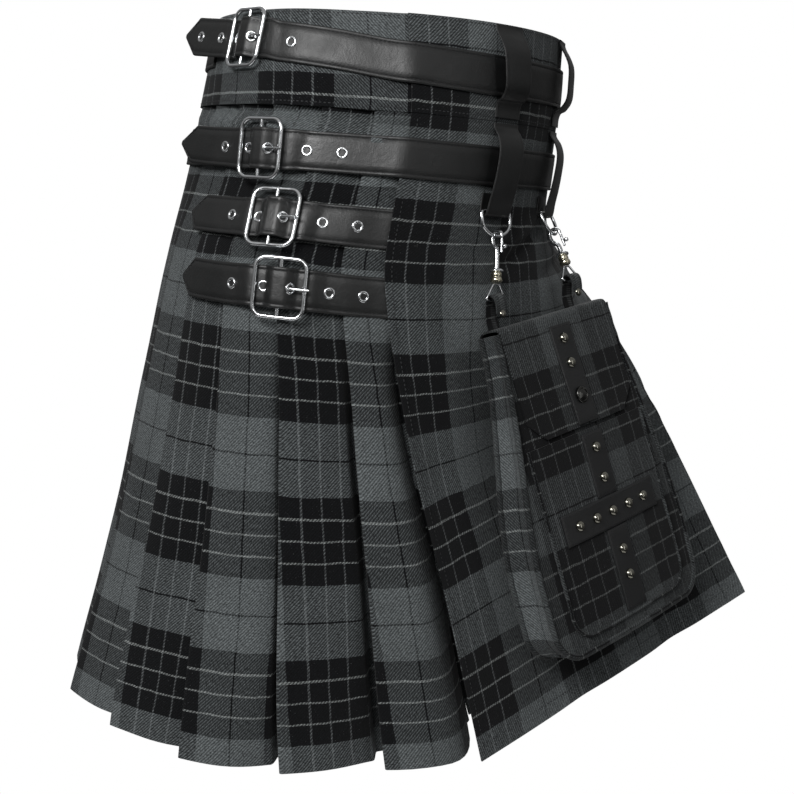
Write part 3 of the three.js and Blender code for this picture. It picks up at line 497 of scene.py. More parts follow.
# ---- creases ----
# x from the apron's edge, w down, turn in degrees, half length, half width, depth in
CREASES = [
    (-150, 84, 3, 90, 5.0, 4.4),
    (-160, 96, 5, 90, 6.5, -4.2),
    (-110, 90, -4, 70, 4.5, 2.0),
    (-150, 136, -3, 70, 5.5, 2.2),
    (-60, 142, 8, 50, 4.5, 1.4),
    (-70, 198, 5, 60, 5.0, 1.3),
    (-200, 195, -9, 60, 6.0, 1.4),
    (158, 160, -26, 60, 8.0, -3.0),
    (158, 174, -26, 62, 7.0, 4.6),
    (238, 150, -64, 36, 7.0, 3.0),
    (300, 150, -12, 55, 7.0, 2.4),
    (265, 196, -8, 85, 8.0, 3.6),
    (60, 182, 4, 50, 6.0, 2.0),
    (330, 238, 32, 60, 9.0, 3.0),
    (60, 250, 62, 80, 13.0, 2.6),
    (20, 330, 80, 90, 16.0, 3.0),
    (320, 300, 70, 120, 18.0, 3.2),
    (110, 480, 84, 120, 20.0, 3.2),
    (250, 520, 96, 110, 22.0, 3.4),
    (430, 120, 6, 60, 6.0, 1.8),
    (600, 138, -5, 80, 6.5, 2.0),
    (760, 96, 3, 70, 5.0, 2.0),
]
UNEVEN = 0.35


def crease_depth(w, x):
    """How far the cloth is pressed in at a place, by its creases and a faint unevenness."""
    depth = UNEVEN * np.sin(x / 23 + 1.3 * np.sin(w / 61)) * np.sin(w / 37 + 0.8 * np.sin(x / 47))
    for middle_x, middle_w, turn, long, wide, deep in CREASES:
        a = math.radians(turn)
        along = (x - middle_x) * math.cos(a) + (w - middle_w) * math.sin(a)
        across = -(x - middle_x) * math.sin(a) + (w - middle_w) * math.cos(a)
        depth = depth + deep * np.exp(-(across / wide) ** 2 - (along / long) ** 4)
    return depth


# ---- cloth ----
def tip_at(k, w):
    return 1 - (FIRST_TIP + TIP_PITCH * k + TIP_DRIFT * opened(w) * (1 - k / PLEATS))


def pleat_depth(w):
    return mix(*PLEAT_DEPTH, opened(w))


def gap_depth(w):
    return pleat_depth(w) + EDGE_GAP * opened(w)


def crease_trim(w, thickness):
    """How far a wall keeps from the left crease, where the apron and the back meet at an angle."""
    a = (apron.at(w, 1) - apron.at(w, 0.97))[:2]
    b = (back.at(w, 0.01) - back.at(w, 0))[:2]
    angle = math.acos(float(np.clip(unit(a) @ unit(b), -1, 1)))
    return max(0.0, (thickness / 2) * math.tan(min(2.4, angle) / 2) - 2 * SEWN)


# A pleat's face shows a dark column, and the next one a grey column, each in its middle.
COLUMN_MIDDLE = (DARK / 2, DARK + GREY / 2)
PLEAT_TAKES = SETT * 1.5
# A face's steps: pressed flat at first, then even ones, then close ones before the next crease.
PRESSED = (0, 0.02, 0.06, 0.12)
FACE_STEPS = 9
DIVE_STEPS = (6.5, 5, 3.5, 2, 1, 0)
BEFORE_JOINT, AFTER_JOINT = len(PRESSED) + 4, len(PRESSED) + 6
FACE_CURVE = 1.15
BELLY = 0.9
# Near the next crease a face dives by this much, over this run. The dive deepens over this drop.
DIVE, DIVE_RUN, DIVE_OPENS = 15, 8, 150
FOLD_TURN = 0.9
# The last face falls away under the apron, most of all half way down.
EDGE_DIVE, EDGE_SHARE = 26, 0.85
EDGE_STEPS = np.array([0, 0.03, 0.1, 0.25, 0.42, 0.57, 0.69, 0.78, 0.85, 0.9, 0.95, 1.0])
LAP_STEPS = np.linspace(0.2, 1, 5)


def apron_end(w, edge):
    """The last face and the lap beneath the apron: points and lengths of cloth from the first tip."""
    gap = float(gap_depth(w))
    fall = float(mix(2.4, 7, smooth((w - 260) / 80)))
    extra = EDGE_DIVE * float(smooth((w - 245) / 60) * (1 - smooth((w - 430) / 170)))
    depth = gap * EDGE_SHARE * EDGE_STEPS ** fall + extra * EDGE_STEPS ** 6
    last_face = back.inset(w, mix(edge, 1, EDGE_STEPS), depth)
    beneath = LAP_STEPS * APRON_OVERLAP
    depth = mix(gap * EDGE_SHARE, gap + 0.5, LAP_STEPS) + extra * (1 - LAP_STEPS) ** 2
    lap = apron.inset(w, beneath / float(apron.span(w)), depth)
    wide = (1 - edge) * float(back.span(w))
    return [last_face, lap], [EDGE_STEPS * wide, wide + beneath]


def pleat_row(w, first, last):
    """One level's points, with their cloth coordinate across, from the crease end to the apron's."""
    length = float(back.span(w))
    depth = float(pleat_depth(w))
    dive = DIVE * float(smooth((w - PLEAT_OPENS) / DIVE_OPENS))
    belly = BELLY * smooth((w - 120) / 300)
    # Place round the back, depth, and cloth coordinate.
    knots = []

    def tip(k):
        """A pleat's tip. The last face, numbered -1, runs on to the apron."""
        return float(tip_at(k, w)) if k >= 0 else 1.0

    def cloth_u(k, start, x):
        """The cloth coordinate on a pleat's face that begins at start."""
        return COLUMN_MIDDLE[0] - k * PLEAT_TAKES + (x - start) * length - (tip(k) - start) * length / 2

    def face(k, start, end, first_step=0, last_step=None):
        wide = (end - start) * length
        crease = wide - PLEAT_UNDER
        steps = [*PRESSED, *np.linspace(PRESSED[-1], (crease - DIVE_RUN) / wide, FACE_STEPS)[1:]]
        steps += [(crease - near) / wide for near in DIVE_STEPS] + [mix(crease / wide, 1, 0.5), 1]
        for s in steps[first_step:last_step]:
            x = mix(start, end, s)
            bulge = belly * math.sin(math.pi * min(1, s * 1.3)) * (s < 0.77)
            fall = dive * float(smooth((DIVE_RUN - (crease - s * wide)) / DIVE_RUN))
            knots.append((x, depth * s ** FACE_CURVE - bulge + fall, cloth_u(k, start, x)))

    def joint(k, start, end, reach):
        """A piece's cut edge, half way over a face."""
        x = mix(start, end, 0.5) + reach / length
        knots.append((x, depth * 0.5 ** FACE_CURVE, cloth_u(k, start, x)))

    for k in range(last, first - 1, -1):
        here = tip(k)
        start = crease_trim(w, CLOTH) / length if k == PLEATS - 1 else tip(k + 1)
        under = here + PLEAT_UNDER / length
        if k != last or k == PLEATS - 1:
            face(k, start, under)
        else:
            joint(k, start, under, -SEWN)
            face(k, start, under, AFTER_JOINT)
        turn, deep = FOLD_TURN / length, depth + dive
        u_under, u_next = knots[-1][2], cloth_u(k - 1, here, here)
        knots += [
            (under + turn, deep - FOLD_HEIGHT / 2, mix(u_under, u_next, 0.1)),
            (under, deep - FOLD_HEIGHT, mix(u_under, u_next, 0.2)),
            (mix(under, here, 0.5), mix(deep - FOLD_HEIGHT, FOLD_HEIGHT, 0.5), mix(u_under, u_next, 0.6)),
            (here, FOLD_HEIGHT, u_next - 1.5),
            (here - turn, FOLD_HEIGHT * 0.75, u_next - 1.0),
            (here - turn * 1.2, FOLD_HEIGHT / 2, u_next - 0.6),
            (here - turn, FOLD_HEIGHT * 0.2, u_next - 0.3),
        ]
    if first > 0:
        after = tip(first - 1) + PLEAT_UNDER / length
        face(first - 1, tip(first), after, 0, BEFORE_JOINT)
        joint(first - 1, tip(first), after, SEWN)
    t, depths, u = np.array(knots).T
    row = back.inset(w, t, depths)
    if first == 0:
        points, lengths = apron_end(w, tip(0))
        row = np.concatenate([row, *points])
        u = np.concatenate([u, cloth_u(-1, tip(0), tip(0)) + np.concatenate(lengths)])
    return row, u


SKIRT_LEVELS = np.concatenate([np.linspace(BAND + SEAM, 240, 34), np.linspace(245, LENGTH, 60)])
# The level where the sett begins: at the skirt's hem and on the apron, at the skirt's top, on the waistband.
SETT_AT, SETT_AT_TOP, SETT_AT_BAND = 144, 136, 50
# Where its columns begin across the apron, and across the waistband.
APRON_COLUMNS_AT, BAND_COLUMNS_AT = 18, -60
SWAY_FROM, SWAY_OVER = 260, 340
WAIST_RADIUS = 165
TURN = 2 * math.pi


def pleats(name, first, last):
    rows, uv = [], []
    for w in SKIRT_LEVELS:
        row, u = pleat_row(float(w), first, last)
        rows.append(row)
        v = w - mix(SETT_AT_TOP, SETT_AT, smooth((w - 250) / 300))
        uv.append(np.stack([u, np.full(len(u), v)], -1))
    rows = np.array(rows)
    w = SKIRT_LEVELS[:, None]
    azimuth = np.arctan2(rows[..., 0], -rows[..., 1])
    # Each pleat sways a little by itself, more towards the hem.
    waves = 1.6 * np.sin(azimuth * 9.0 + w / 90) + 0.9 * np.sin(azimuth * 23 + w / 55)
    sway = smooth((w - SWAY_FROM) / SWAY_OVER) * waves
    x = (azimuth % TURN - TURN) * back.span(w) / TURN
    press = crease_depth(np.broadcast_to(w, x.shape), np.where(x < -600, x + TURN * WAIST_RADIUS, x))
    rows = rows - unit(rows * [1, 1, 0]) * (press + sway)[..., None]
    cloth_piece(name, rows, np.array(uv), CLOTH)


UNDER_END = 0.93
UNDER_DEPTH = 8
# How far the under apron's start draws back for each millimetre that the gap grows.
UNDER_DRIFT = 0.018
BAND_LAP, BAND_LAP_RUN = 3.3, 26
SEAM_BULK = 5.4
BAND_LEVELS = np.array([0, 1.2, 4, 10, 20, 30, 40, 50, 60, 68, 72, 74.5, BAND])


def apron_rows(levels, start, end, steps, depth_at, sett_at=SETT_AT, press=1):
    """Rows over the apron, from start to end across it; both are functions of the level."""
    rows, uv = [], []
    for w in levels:
        span = float(apron.span(w))
        t = np.linspace(start(w), end(w), steps + 1)
        depth = depth_at(w, t) + press * crease_depth(np.full(len(t), float(w)), t * span)
        rows.append(apron.inset(w, t, depth))
        uv.append(np.stack([t * span + APRON_COLUMNS_AT, np.full(len(t), w - sett_at)], -1))
    return np.array(rows), np.array(uv)


def apron_edge(w):
    return 0


def under_end(w):
    return UNDER_END


def under_start(w):
    return (APRON_OVERLAP + SEAM + (gap_depth(w) - pleat_depth(w)) * UNDER_DRIFT) / float(apron.span(w))


def under_depth(w, t):
    return mix(float(gap_depth(w)) + 0.5, UNDER_DEPTH, smooth((t - under_start(w)) / 0.3))


def at_crease(thickness):
    return lambda w: 1 - crease_trim(w, thickness) / float(apron.span(w))


def build_waistband():
    rows, uv = [], []
    for w in BAND_LEVELS:
        span = float(back.span(w))
        t = np.linspace(crease_trim(w, BAND_CLOTH) / span, 1, 150)
        row = back.inset(w, t, BAND_LAP * smooth(1 - (1 - t) * span / BAND_LAP_RUN))
        lap_x = np.array([0.25, 0.5, 0.75, 1]) * APRON_OVERLAP
        lap = apron.inset(w, lap_x / float(apron.span(w)), np.full(4, BAND_LAP))
        rows.append(np.concatenate([row, lap]))
        x = np.concatenate([(t - 1) * span, lap_x])
        uv.append(np.stack([BAND_COLUMNS_AT - x, np.full(len(x), w - SETT_AT_BAND)], -1))
    # The pleats' tops are folded up inside the waistband's lower edge.
    folded_in = SEAM_BULK * smooth((BAND_LEVELS - 60) / 12)
    cloth_piece("waistband", np.array(rows), np.array(uv), BAND_CLOTH, bulk=folded_in)


def build_cloth():
    for name, first, last in (("pleats_right", 0, 4), ("pleats_back", 5, 10), ("pleats_left", 11, 15)):
        pleats(name, first, last)
    rows, uv = apron_rows(SKIRT_LEVELS, apron_edge, at_crease(CLOTH), 70, lambda w, t: 0)
    cloth_piece("front_apron", rows, uv, CLOTH)
    rows, uv = apron_rows(SKIRT_LEVELS[::2], under_start, under_end, 30, under_depth)
    cloth_piece("under_apron", rows, uv, CLOTH)
    build_waistband()
    for name, start, end, depth in (("apron_waistband", apron_edge, at_crease(BAND_CLOTH), 0),
                                    ("under_waistband", under_start, under_end, BAND_LAP)):
        rows, uv = apron_rows(BAND_LEVELS, start, end, 60, lambda w, t: depth, SETT_AT_BAND, 0)
        cloth_piece(name, rows, uv, BAND_CLOTH)


# ---- straps ----
STRAPS = [
    {"name": "belt_upper", "at": 26, "buckle": -137, "tip": 92, "round": True, "tip_lift": 19,
     "knots": ([-260, -137, -60, 0, 110, 240, 362, 700, 1000], [20, 24, 31, 38, 41, 39, 35, 30, 24]),
     "eyelets": [-70, -41, -13, 45]},
    {"name": "belt_lower", "at": 112, "buckle": -112, "tip": 96, "round": True, "tip_lift": 13,
     "knots": ([-260, 1100], [112, 112]), "eyelets": [-41, -13, 37, 64]},
    {"name": "strap_hip", "at": 169, "buckle": -89, "tip": 102, "round": False, "tip_lift": 0,
     "knots": ([-260, 60], [169, 169]), "eyelets": [-41, -13, 37, 64]},
    {"name": "strap_low", "at": 223, "buckle": -82, "tip": 110, "round": False, "tip_lift": 0,
     "knots": ([-260, 60], [223, 223]), "eyelets": [-41, -13, 37, 64]},
]
BUCKLE_WIDTH, BUCKLE_HEIGHT, BUCKLE_WIRE = 43.5, 49, 3.4
BUCKLE_THICK, BUCKLE_CORNER, BUCKLE_LIFT = 3.4, 10, 6.9
SLACK = 0.6
REST = BAND_CLOTH / 2 + SLACK + LEATHER / 2
CHAPE_LENGTH = 58
OVER_CHAPE = REST + LEATHER + SEAM
UNDER_BAR = 3.8
OVER_BAR = BUCKLE_LIFT + BUCKLE_THICK / 2 + SEAM + LEATHER / 2
PRONG_EYELET = 9


def strap_lift(strap, s):
    bulge = OVER_BAR * (1 - smooth((np.abs(s) - 4) / 13))
    side = np.where(s > 0, REST, mix(UNDER_BAR, OVER_CHAPE, smooth((-s - 20) / 14)))
    past = strap["tip_lift"] * np.clip((-s - 26) / (strap["tip"] - 26), 0, 1) ** 1.7
    return np.maximum(side, bulge) + past


def strap_surface(strap, s, across, raise_by=0.0):
    """A point of a strap: s along it from its buckle, across its width, raised off its middle."""
    s, across, raise_by = np.broadcast_arrays(*(np.asarray(v, float) for v in (s, across, raise_by)))
    x = strap["buckle"] + s
    level = through(*strap["knots"], x)
    h = strap_lift(strap, s)
    if not strap["round"]:
        h = mix(h, -(CLOTH / 2 + SEAM + LEATHER / 2 + 0.2), smooth((x + 34) / 34))
    h = h + raise_by
    point, right, down, out = buckle_frame(strap)
    flat = point + s[..., None] * right + across[..., None] * down + h[..., None] * out
    away = smooth((np.abs(s) - 22) / 14)[..., None]
    return mix(flat, lifted(level + across, x, h, strap["at"]), away)


def buckle_frame(strap):
    level = float(through(*strap["knots"], strap["buckle"]))
    return frame_at(level, float(strap["buckle"]), strap["at"])


# Half of a strap's section: place across, and how far its face stands above its middle.
HALF_SECTION = [(1, 0.0), (0.985, 0.6), (0.94, 0.95), (0.86, 0.98), (0.81, 0.5), (0.76, 0.98), (0.5, 1.08)]
SECTION = np.array([(-a, up) for a, up in HALF_SECTION] + [(0, 1.12)] + HALF_SECTION[::-1])


def strap_length_stations(strap):
    around = float(apron.span(strap["at"]) + back.span(strap["at"]))
    end = around - CHAPE_LENGTH - SEAM - 2 if strap["round"] else 24 - strap["buckle"]
    fine = np.arange(-strap["tip"], 60, 1.8)
    coarse = np.arange(60, end, 5.0)
    return np.concatenate([fine, coarse, [end]])


TIP_TAPER = 15


def tip_half(strap, s):
    """Half the strap's width, which runs to a point at its tip."""
    from_tip = np.clip((s + strap["tip"]) / TIP_TAPER, 0, 1)
    return STRAP_HALF * mix(0.1, 1, from_tip)


def placed(points, columns, origin):
    return np.asarray(points) @ np.array(columns) + np.asarray(origin)


def join(parts):
    """One set of points and faces from several."""
    points, faces, start = [], [], 0
    for some_points, some_faces in parts:
        points.append(np.asarray(some_points))
        faces += [[int(v) + start for v in f] for f in some_faces]
        start += len(some_points)
    return np.concatenate(points), faces


def set_at(columns, origin, *parts):
    """Shapes joined and placed."""
    points, faces = join(parts)
    return placed(points, columns, origin), faces


def lathe(profile, segments):
    """Points and faces of a profile of (radius, height) turned about Z, closed on itself or at its ends."""
    a = np.linspace(0, 2 * math.pi, segments, endpoint=False)
    profile = np.array(profile, float)
    points = np.stack([profile[:, :1] * np.cos(a), profile[:, :1] * np.sin(a),
                       np.repeat(profile[:, 1:], segments, 1)], -1)
    faces = grid_faces(len(profile), segments, flip=True, looped=True)
    last = (len(profile) - 1) * segments
    if (profile[0] == profile[-1]).all():
        return points[:-1].reshape(-1, 3), (faces % last).tolist()
    ends = [list(range(segments)), list(range(last, last + segments))[::-1]]
    return points.reshape(-1, 3), faces.tolist() + ends


def tube(path, radius, sides=12, closed=False, flat=1.0, up=(0, 0, 1)):
    """A round tube along a path, closed on itself or with flat ends. flat squeezes it along up."""
    path = np.asarray(path, float)
    count = len(path)
    tangent = unit(np.roll(path, -1, 0) - np.roll(path, 1, 0) if closed else np.gradient(path, axis=0))
    side = unit(np.cross(np.broadcast_to(np.asarray(up, float), path.shape), tangent))[:, None]
    over = np.cross(tangent, side[:, 0])[:, None]
    a = np.linspace(0, 2 * math.pi, sides, endpoint=False)[None, :, None]
    radius = np.broadcast_to(np.asarray(radius, float), (count,))[:, None, None]
    points = path[:, None] + radius * (np.cos(a) * side + flat * np.sin(a) * over)
    faces = (grid_faces(count + closed, sides, looped=True) % (count * sides)).tolist()
    if not closed:
        faces += [list(range(sides))[::-1], list(range((count - 1) * sides, count * sides))]
    return points.reshape(-1, 3), faces


def rounded_rectangle(half_x, half_y, corner):
    """An outline with round corners, and points 3 mm or less apart along its sides."""
    path = []
    for cx, cy, start in ((1, 1, 0), (-1, 1, 90), (-1, -1, 180), (1, -1, 270)):
        for a in np.radians(np.linspace(start, start + 90, 8)):
            x, y = corner * math.cos(a), corner * math.sin(a)
            path.append([cx * (half_x - corner) + x, cy * (half_y - corner) + y, 0])
    path = np.array(path)
    spaced = []
    for a, b in zip(path, np.roll(path, -1, 0)):
        count = max(1, int(np.linalg.norm(b - a) / 3))
        spaced += [mix(a, b, k / count) for k in range(count)]
    return np.array(spaced)


STITCHES = {"leather": [], "cloth": []}
# A stitch runs from point 0 to point 7, over two rings of three points, with point 8 beneath.
STITCH_FACES = [[0, 2, 1], [0, 3, 2], [1, 2, 5, 4], [2, 3, 6, 5], [4, 5, 7], [5, 6, 7],
                [0, 1, 8], [1, 4, 8], [4, 7, 8], [0, 8, 3], [3, 8, 6], [6, 8, 7]]


def stitch_run(kind, path, ups, pitch=3.4, dash=2.3, thick=0.32):
    """Adds a row of thread dashes along a path, lying on the surface whose normals are ups."""
    path, ups = np.asarray(path, float), np.asarray(ups, float)
    lengths = run_length(path)
    count = int(lengths[-1] / pitch)
    if count < 1:
        return
    middle = (np.arange(count) + 0.5) * pitch

    def at(distance, values=path):
        return np.stack([np.interp(distance, lengths, values[:, k]) for k in range(3)], -1)

    up = unit(at(middle, ups)) * thick
    start, end = at(middle - dash / 2), at(middle + dash / 2)
    side = np.cross(unit(end - start), up) * 1.3
    centre, quarter = (start + end) / 2, (end - start) * 0.3
    rings = [place + turn for place in (centre - quarter, centre + quarter)
             for turn in (side + up * 0.3, up, up * 0.3 - side)]
    points = np.stack([start, *rings, end, centre - up * 0.6], 1)
    faces = [[v + 9 * k for v in f] for k in range(count) for f in STITCH_FACES]
    STITCHES[kind].append((points.reshape(-1, 3), faces))


def strap_normal(strap, s, across):
    """The direction along a strap's face, and the face's normal."""
    e = 0.8
    along = strap_surface(strap, s + e, across) - strap_surface(strap, s - e, across)
    over = strap_surface(strap, s, across + e) - strap_surface(strap, s, across - e)
    lift = strap_surface(strap, s, across, 1.0) - strap_surface(strap, s, across)
    return unit(along), facing(unit(np.cross(along, over)), lift)


EYELET_OUTER, EYELET_HOLE = 4.7, 2.4
# A rolled metal ring about a hole, with a short throat beneath.
EYELET = [(EYELET_HOLE, -0.9), (EYELET_HOLE, 0.25), (EYELET_HOLE + 0.35, 0.65), (3.6, 0.85), (4.4, 0.65),
          (EYELET_OUTER, 0.15), (EYELET_OUTER, -0.1), (EYELET_HOLE + 0.6, -0.1), (EYELET_HOLE + 0.6, -0.9),
          (EYELET_HOLE, -0.9)]
PUNCH = [(0.01, -6), (EYELET_HOLE + 0.3, -6), (EYELET_HOLE + 0.3, 4), (0.01, 4)]
STITCH_AT, STITCH_FROM_TIP = 0.81 * STRAP_HALF, 14


def cut(piece, points, faces):
    """Takes a closed shape out of a piece."""
    cutter = add_object("cutter", new_mesh("cutter", points, faces))
    modifier = piece.modifiers.new("cut", "BOOLEAN")
    modifier.operation = "DIFFERENCE"
    modifier.solver = "EXACT"
    modifier.object = cutter
    graph = bpy.context.evaluated_depsgraph_get()
    result = bpy.data.meshes.new_from_object(piece.evaluated_get(graph))
    piece.modifiers.clear()
    piece.data = result
    bpy.data.objects.remove(cutter)


def build_eyelets(strap, piece):
    rings, holes = [], []
    for place in sorted([*strap["eyelets"], PRONG_EYELET]):
        centre = strap_surface(strap, float(place), 0.0, LEATHER / 2)
        along, normal = strap_normal(strap, float(place), 0.0)
        columns = [along, np.cross(normal, along), normal]
        rings.append(set_at(columns, centre, lathe(EYELET, 28)))
        if place != PRONG_EYELET:
            holes.append(set_at(columns, centre, lathe(PUNCH, 24)))
    cut(piece, *join(holes))
    make(f'{strap["name"]}_eyelets', join(rings), CHROME)


def build_strap(strap):
    s = strap_length_stations(strap)
    across, up = SECTION.T
    half = tip_half(strap, s)[:, None]
    top = strap_surface(strap, s[:, None], across * half, up - 0.1)
    low = strap_surface(strap, s[:, None], across * half * 0.99, np.full(len(up), -LEATHER / 2))
    build_eyelets(strap, make(strap["name"], between(top, low), LEATHER_BLACK, sharp=60))
    from_tip = STITCH_FROM_TIP - strap["tip"]
    stitched = s[(s > from_tip) & (s < s[-1] - 2)]
    for side in (-1, 1):
        path = strap_surface(strap, stitched, np.full(len(stitched), side * STITCH_AT), 0.5)
        normals = strap_normal(strap, stitched, np.full(len(stitched), side * 12.0))[1]
        stitch_run("leather", path, normals)
    knots, fine = [0, 1, 2], np.linspace(0, 2, 13)
    tip_s = np.interp(fine, knots, [from_tip, 4 - strap["tip"], from_tip])
    tip_a = np.interp(fine, knots, [-STITCH_AT, 0, STITCH_AT])
    normals = strap_normal(strap, tip_s, tip_a)[1]
    stitch_run("leather", strap_surface(strap, tip_s, tip_a, LEATHER / 2), normals)


# A prong's middle line, along the strap and up, and its radius from root to tip.
PRONG_KNOTS = np.array([[3.9, 0.4], [9, 2.6], [16, 3.5], [24, 3.5]])
PRONG_RADIUS = (1.35, 0.95)
BAR_RADIUS = 1.6


def build_buckle(strap):
    name = strap["name"]
    point, right, down, out = buckle_frame(strap)
    columns = [right, -down, out]
    wire = BUCKLE_WIRE / 2
    outline = rounded_rectangle(BUCKLE_WIDTH / 2 - wire, BUCKLE_HEIGHT / 2 - wire, BUCKLE_CORNER - wire)
    outline[:, 2] = BUCKLE_LIFT
    bar = [[0, y, BUCKLE_LIFT] for y in np.linspace(-1, 1, 9) * (BUCKLE_HEIGHT / 2 - wire)]
    parts = tube(outline, wire, 14, True, BUCKLE_THICK / BUCKLE_WIRE), tube(bar, BAR_RADIUS)
    make(f"{name}_buckle", set_at(columns, point, *parts), CHROME)
    s = np.linspace(0, 3, 22)
    along, lift = (through(range(4), PRONG_KNOTS[:, k], s) for k in (0, 1))
    prong = tube(np.stack([along, 0 * s, BUCKLE_LIFT + lift], -1), mix(*PRONG_RADIUS, s / 3), up=(0, 1, 0))
    make(f"{name}_prong", set_at(columns, point, prong), CHROME)


# ---- loops, rings and hooks ----
LOOP_X = {"right": 88, "left": 186}
LOOP_WIDTH = 30
# Profiles: w down the cloth, and how far off it.
UPPER_LOOP = [[1.5, 2.4], [5, 2.8], [13, 8], [22, 12], [36, 13], [50, 12.5], [58, 8], [60.5, 4], [66, 2.4],
              [73, 2.4]]
LOWER_LOOP = [[77.5, 1.9], [81, 2.4], [88, 8], [97, 11.5], [112, 12.5], [128, 12], [141, 10.4], [148.5, 9.5],
              [151.7, 8.4], [152.9, 5.9], [151.7, 3.4], [148.5, 2.3], [140, 2.1], [134, 2.1]]
RING_BAR = (149, 5.9)
RING_DROP, RING_OUTER, RING_CORNER = 20, 38, 13
POCKET = {"heading": -25, "lean": 14, "roll": 8, "across": 24, "down": 300, "out": 114}
POCKET_HALF = (72, 98)
POCKET_TOP, POCKET_BOTTOM = 10, -256
POCKET_DEPTH = (17, 30)
POCKET_CORNER = 26
CROWN = 5
TAB_X, TAB_HALF = {"right": -50, "left": 50}, 6.5
TAB_BAR = (POCKET_TOP + 26, -POCKET_DEPTH[0] + 6)


def pocket_axes():
    heading, lean, roll = (math.radians(POCKET[key]) for key in ("heading", "lean", "roll"))
    ahead = np.array([math.sin(heading), -math.cos(heading), 0])
    level = np.array([math.cos(heading), math.sin(heading), 0])
    facing_out = ahead * math.cos(lean) + [0, 0, math.sin(lean)]
    fall = ahead * math.sin(lean) - [0, 0, math.cos(lean)]
    across = level * math.cos(roll) - fall * math.sin(roll)
    up = -fall * math.cos(roll) - level * math.sin(roll)
    origin = level * POCKET["across"] + fall * POCKET["down"] + facing_out * POCKET["out"] + [0, 0, BAND / 2]
    return [across, up, facing_out], origin


POCKET_COLUMNS, POCKET_ORIGIN = pocket_axes()


def in_pocket(points):
    return placed(points, POCKET_COLUMNS, POCKET_ORIGIN)


RIBBON_ACROSS = np.array([-1, -0.97, -0.88, -0.8, -0.72, 0, 0.72, 0.8, 0.88, 0.97, 1])
RIBBON_UP = np.array([0, 0.35, 0.5, 0.36, 0.5, 0.56, 0.5, 0.36, 0.5, 0.35, 0])


def ribbon(path, half, thickness, sideways):
    """Both sides of a strip with soft edges along a path, and its normals; sideways is across it."""
    sideways = unit(np.asarray(sideways, float))
    normal = np.cross(sideways, unit(np.gradient(path, axis=0)))
    spread = path[:, None] + RIBBON_ACROSS[None, :, None] * half * sideways[:, None]
    raised = (RIBBON_UP * thickness)[None, :, None] * normal[:, None]
    return spread + raised, spread - raised, normal


def fine_path(points, count):
    points = np.asarray(points, float)
    lengths = run_length(points)
    s = np.linspace(0, lengths[-1], count)
    return np.stack([through(lengths, points[:, k], s) for k in range(points.shape[1])], -1)


def build_loop(name, x, profile, count, sewn):
    """A stand-off leather loop; sewn is the share of its length whose stitches show."""
    fine = fine_path(profile, count)
    point, right, _, out = frame_at(fine[:, 0], np.full(count, float(x)))
    path = point + out * fine[:, 1:]
    front, behind, normal = ribbon(path, LOOP_WIDTH / 2, THIN_LEATHER, right)
    make(name, between(front, behind), LEATHER_BLACK, sharp=60)
    face = facing(normal, out) if (normal * out).sum(-1)[count // 3] > 0 else normal
    shown = slice(2, int(count * sewn))
    for side in (-0.8, 0.8):
        run = path + right * side * LOOP_WIDTH / 2 + face * THIN_LEATHER * 0.4
        stitch_run("leather", run[shown], face[shown])


def d_ring_path():
    """Half a round below two short straight sides, with the bar on top; x across, y down."""
    half = (RING_OUTER - WIRE) / 2
    waist = RING_DROP - RING_CORNER
    angles = np.linspace(0.12, math.pi - 0.12, 22)
    path = [[x, 0, 0] for x in np.linspace(-half + 2, half - 2, 14)]
    path += [[half - 0.6, 0.6, 0], [half, 2, 0], [half, waist, 0]]
    path += [[half * math.cos(a), waist + RING_CORNER * math.sin(a), 0] for a in angles]
    return path + [[-half, waist, 0], [-half, 2, 0], [-half + 0.6, 0.6, 0]]


HOOK_THROAT, HOOK_OUTER = 3.6, 5.9
# The swivel's barrel ends the hook: the shank meets it this far above the eye.
SWIVEL_LENGTH, BARREL_LENGTH = 24, 8.5
COLLAR = [(0.01, -2.5), (4.6, -2.5), (5.6, -1.6), (5.7, -0.6), (4.4, 0.1), (0.01, 0.1)]
BARREL = [(0.01, 0), (3.6, 0), (4.3, 0.8), (4.3, 3.4), (3.9, 3.9), (3.9, 4.4), (4.6, 5), (4.9, 7.2),
          (4.2, BARREL_LENGTH), (0.01, BARREL_LENGTH)]
KNOB = [(0.01, 0), (1.2, 0), (1.6, 1.6), (1.9, 3.2), (1.2, 4.1), (0.01, 4.2)]


def turned(profile, y):
    """A lathe shape turned about the hang line."""
    points, faces = lathe(profile, 28)
    return points[:, [0, 2, 1]] + [0, y, 0], [f[::-1] for f in faces]


def build_hook(side, columns, origin, reach):
    """x out from the garment, y down the hang line. The crook, the swivel and its barrel."""
    arch = RING_DROP + 0.4
    shank_end = reach - SWIVEL_LENGTH
    radius = (HOOK_THROAT + HOOK_OUTER) / 2
    crook = [[radius, arch + 2, 0], [radius, arch + 1, 0]]
    crook += [[radius * math.cos(a), arch - radius * math.sin(a), 0] for a in np.linspace(0, math.pi, 16)]
    crook += [[-radius, arch + 3, 0], [-radius * 0.7, arch + 7, 0], [-0.6, arch + 10, 0], [0, arch + 13, 0],
              [0, shank_end - 1, 0]]
    thick = np.interp(np.arange(44), [0, 3, 12, 30, 43], [1.0, 1.5, 1.7, 1.9, 2.2])
    parts = tube(fine_path(crook, 44), thick, 14), turned(COLLAR, shank_end)
    make(f"hook_{side}", set_at(columns, origin, *parts), CHROME)
    make(f"hook_{side}_barrel", set_at(columns, origin, turned(BARREL, shank_end)), BRASS)
    top = arch + 2 + SEAM
    bolt = tube([[radius + 0.2, y, 0] for y in np.linspace(top, top + 11, 8)], 1.15, up=(1, 0, 0))
    points, faces = lathe(KNOB, 20)
    knob = points[:, [2, 1, 0]] + [HOOK_OUTER - 0.3, top + 6.5, 0], faces
    make(f"hook_bolt_{side}", set_at(columns, origin, bolt, knob), CHROME, body=f"bolt_{side}")


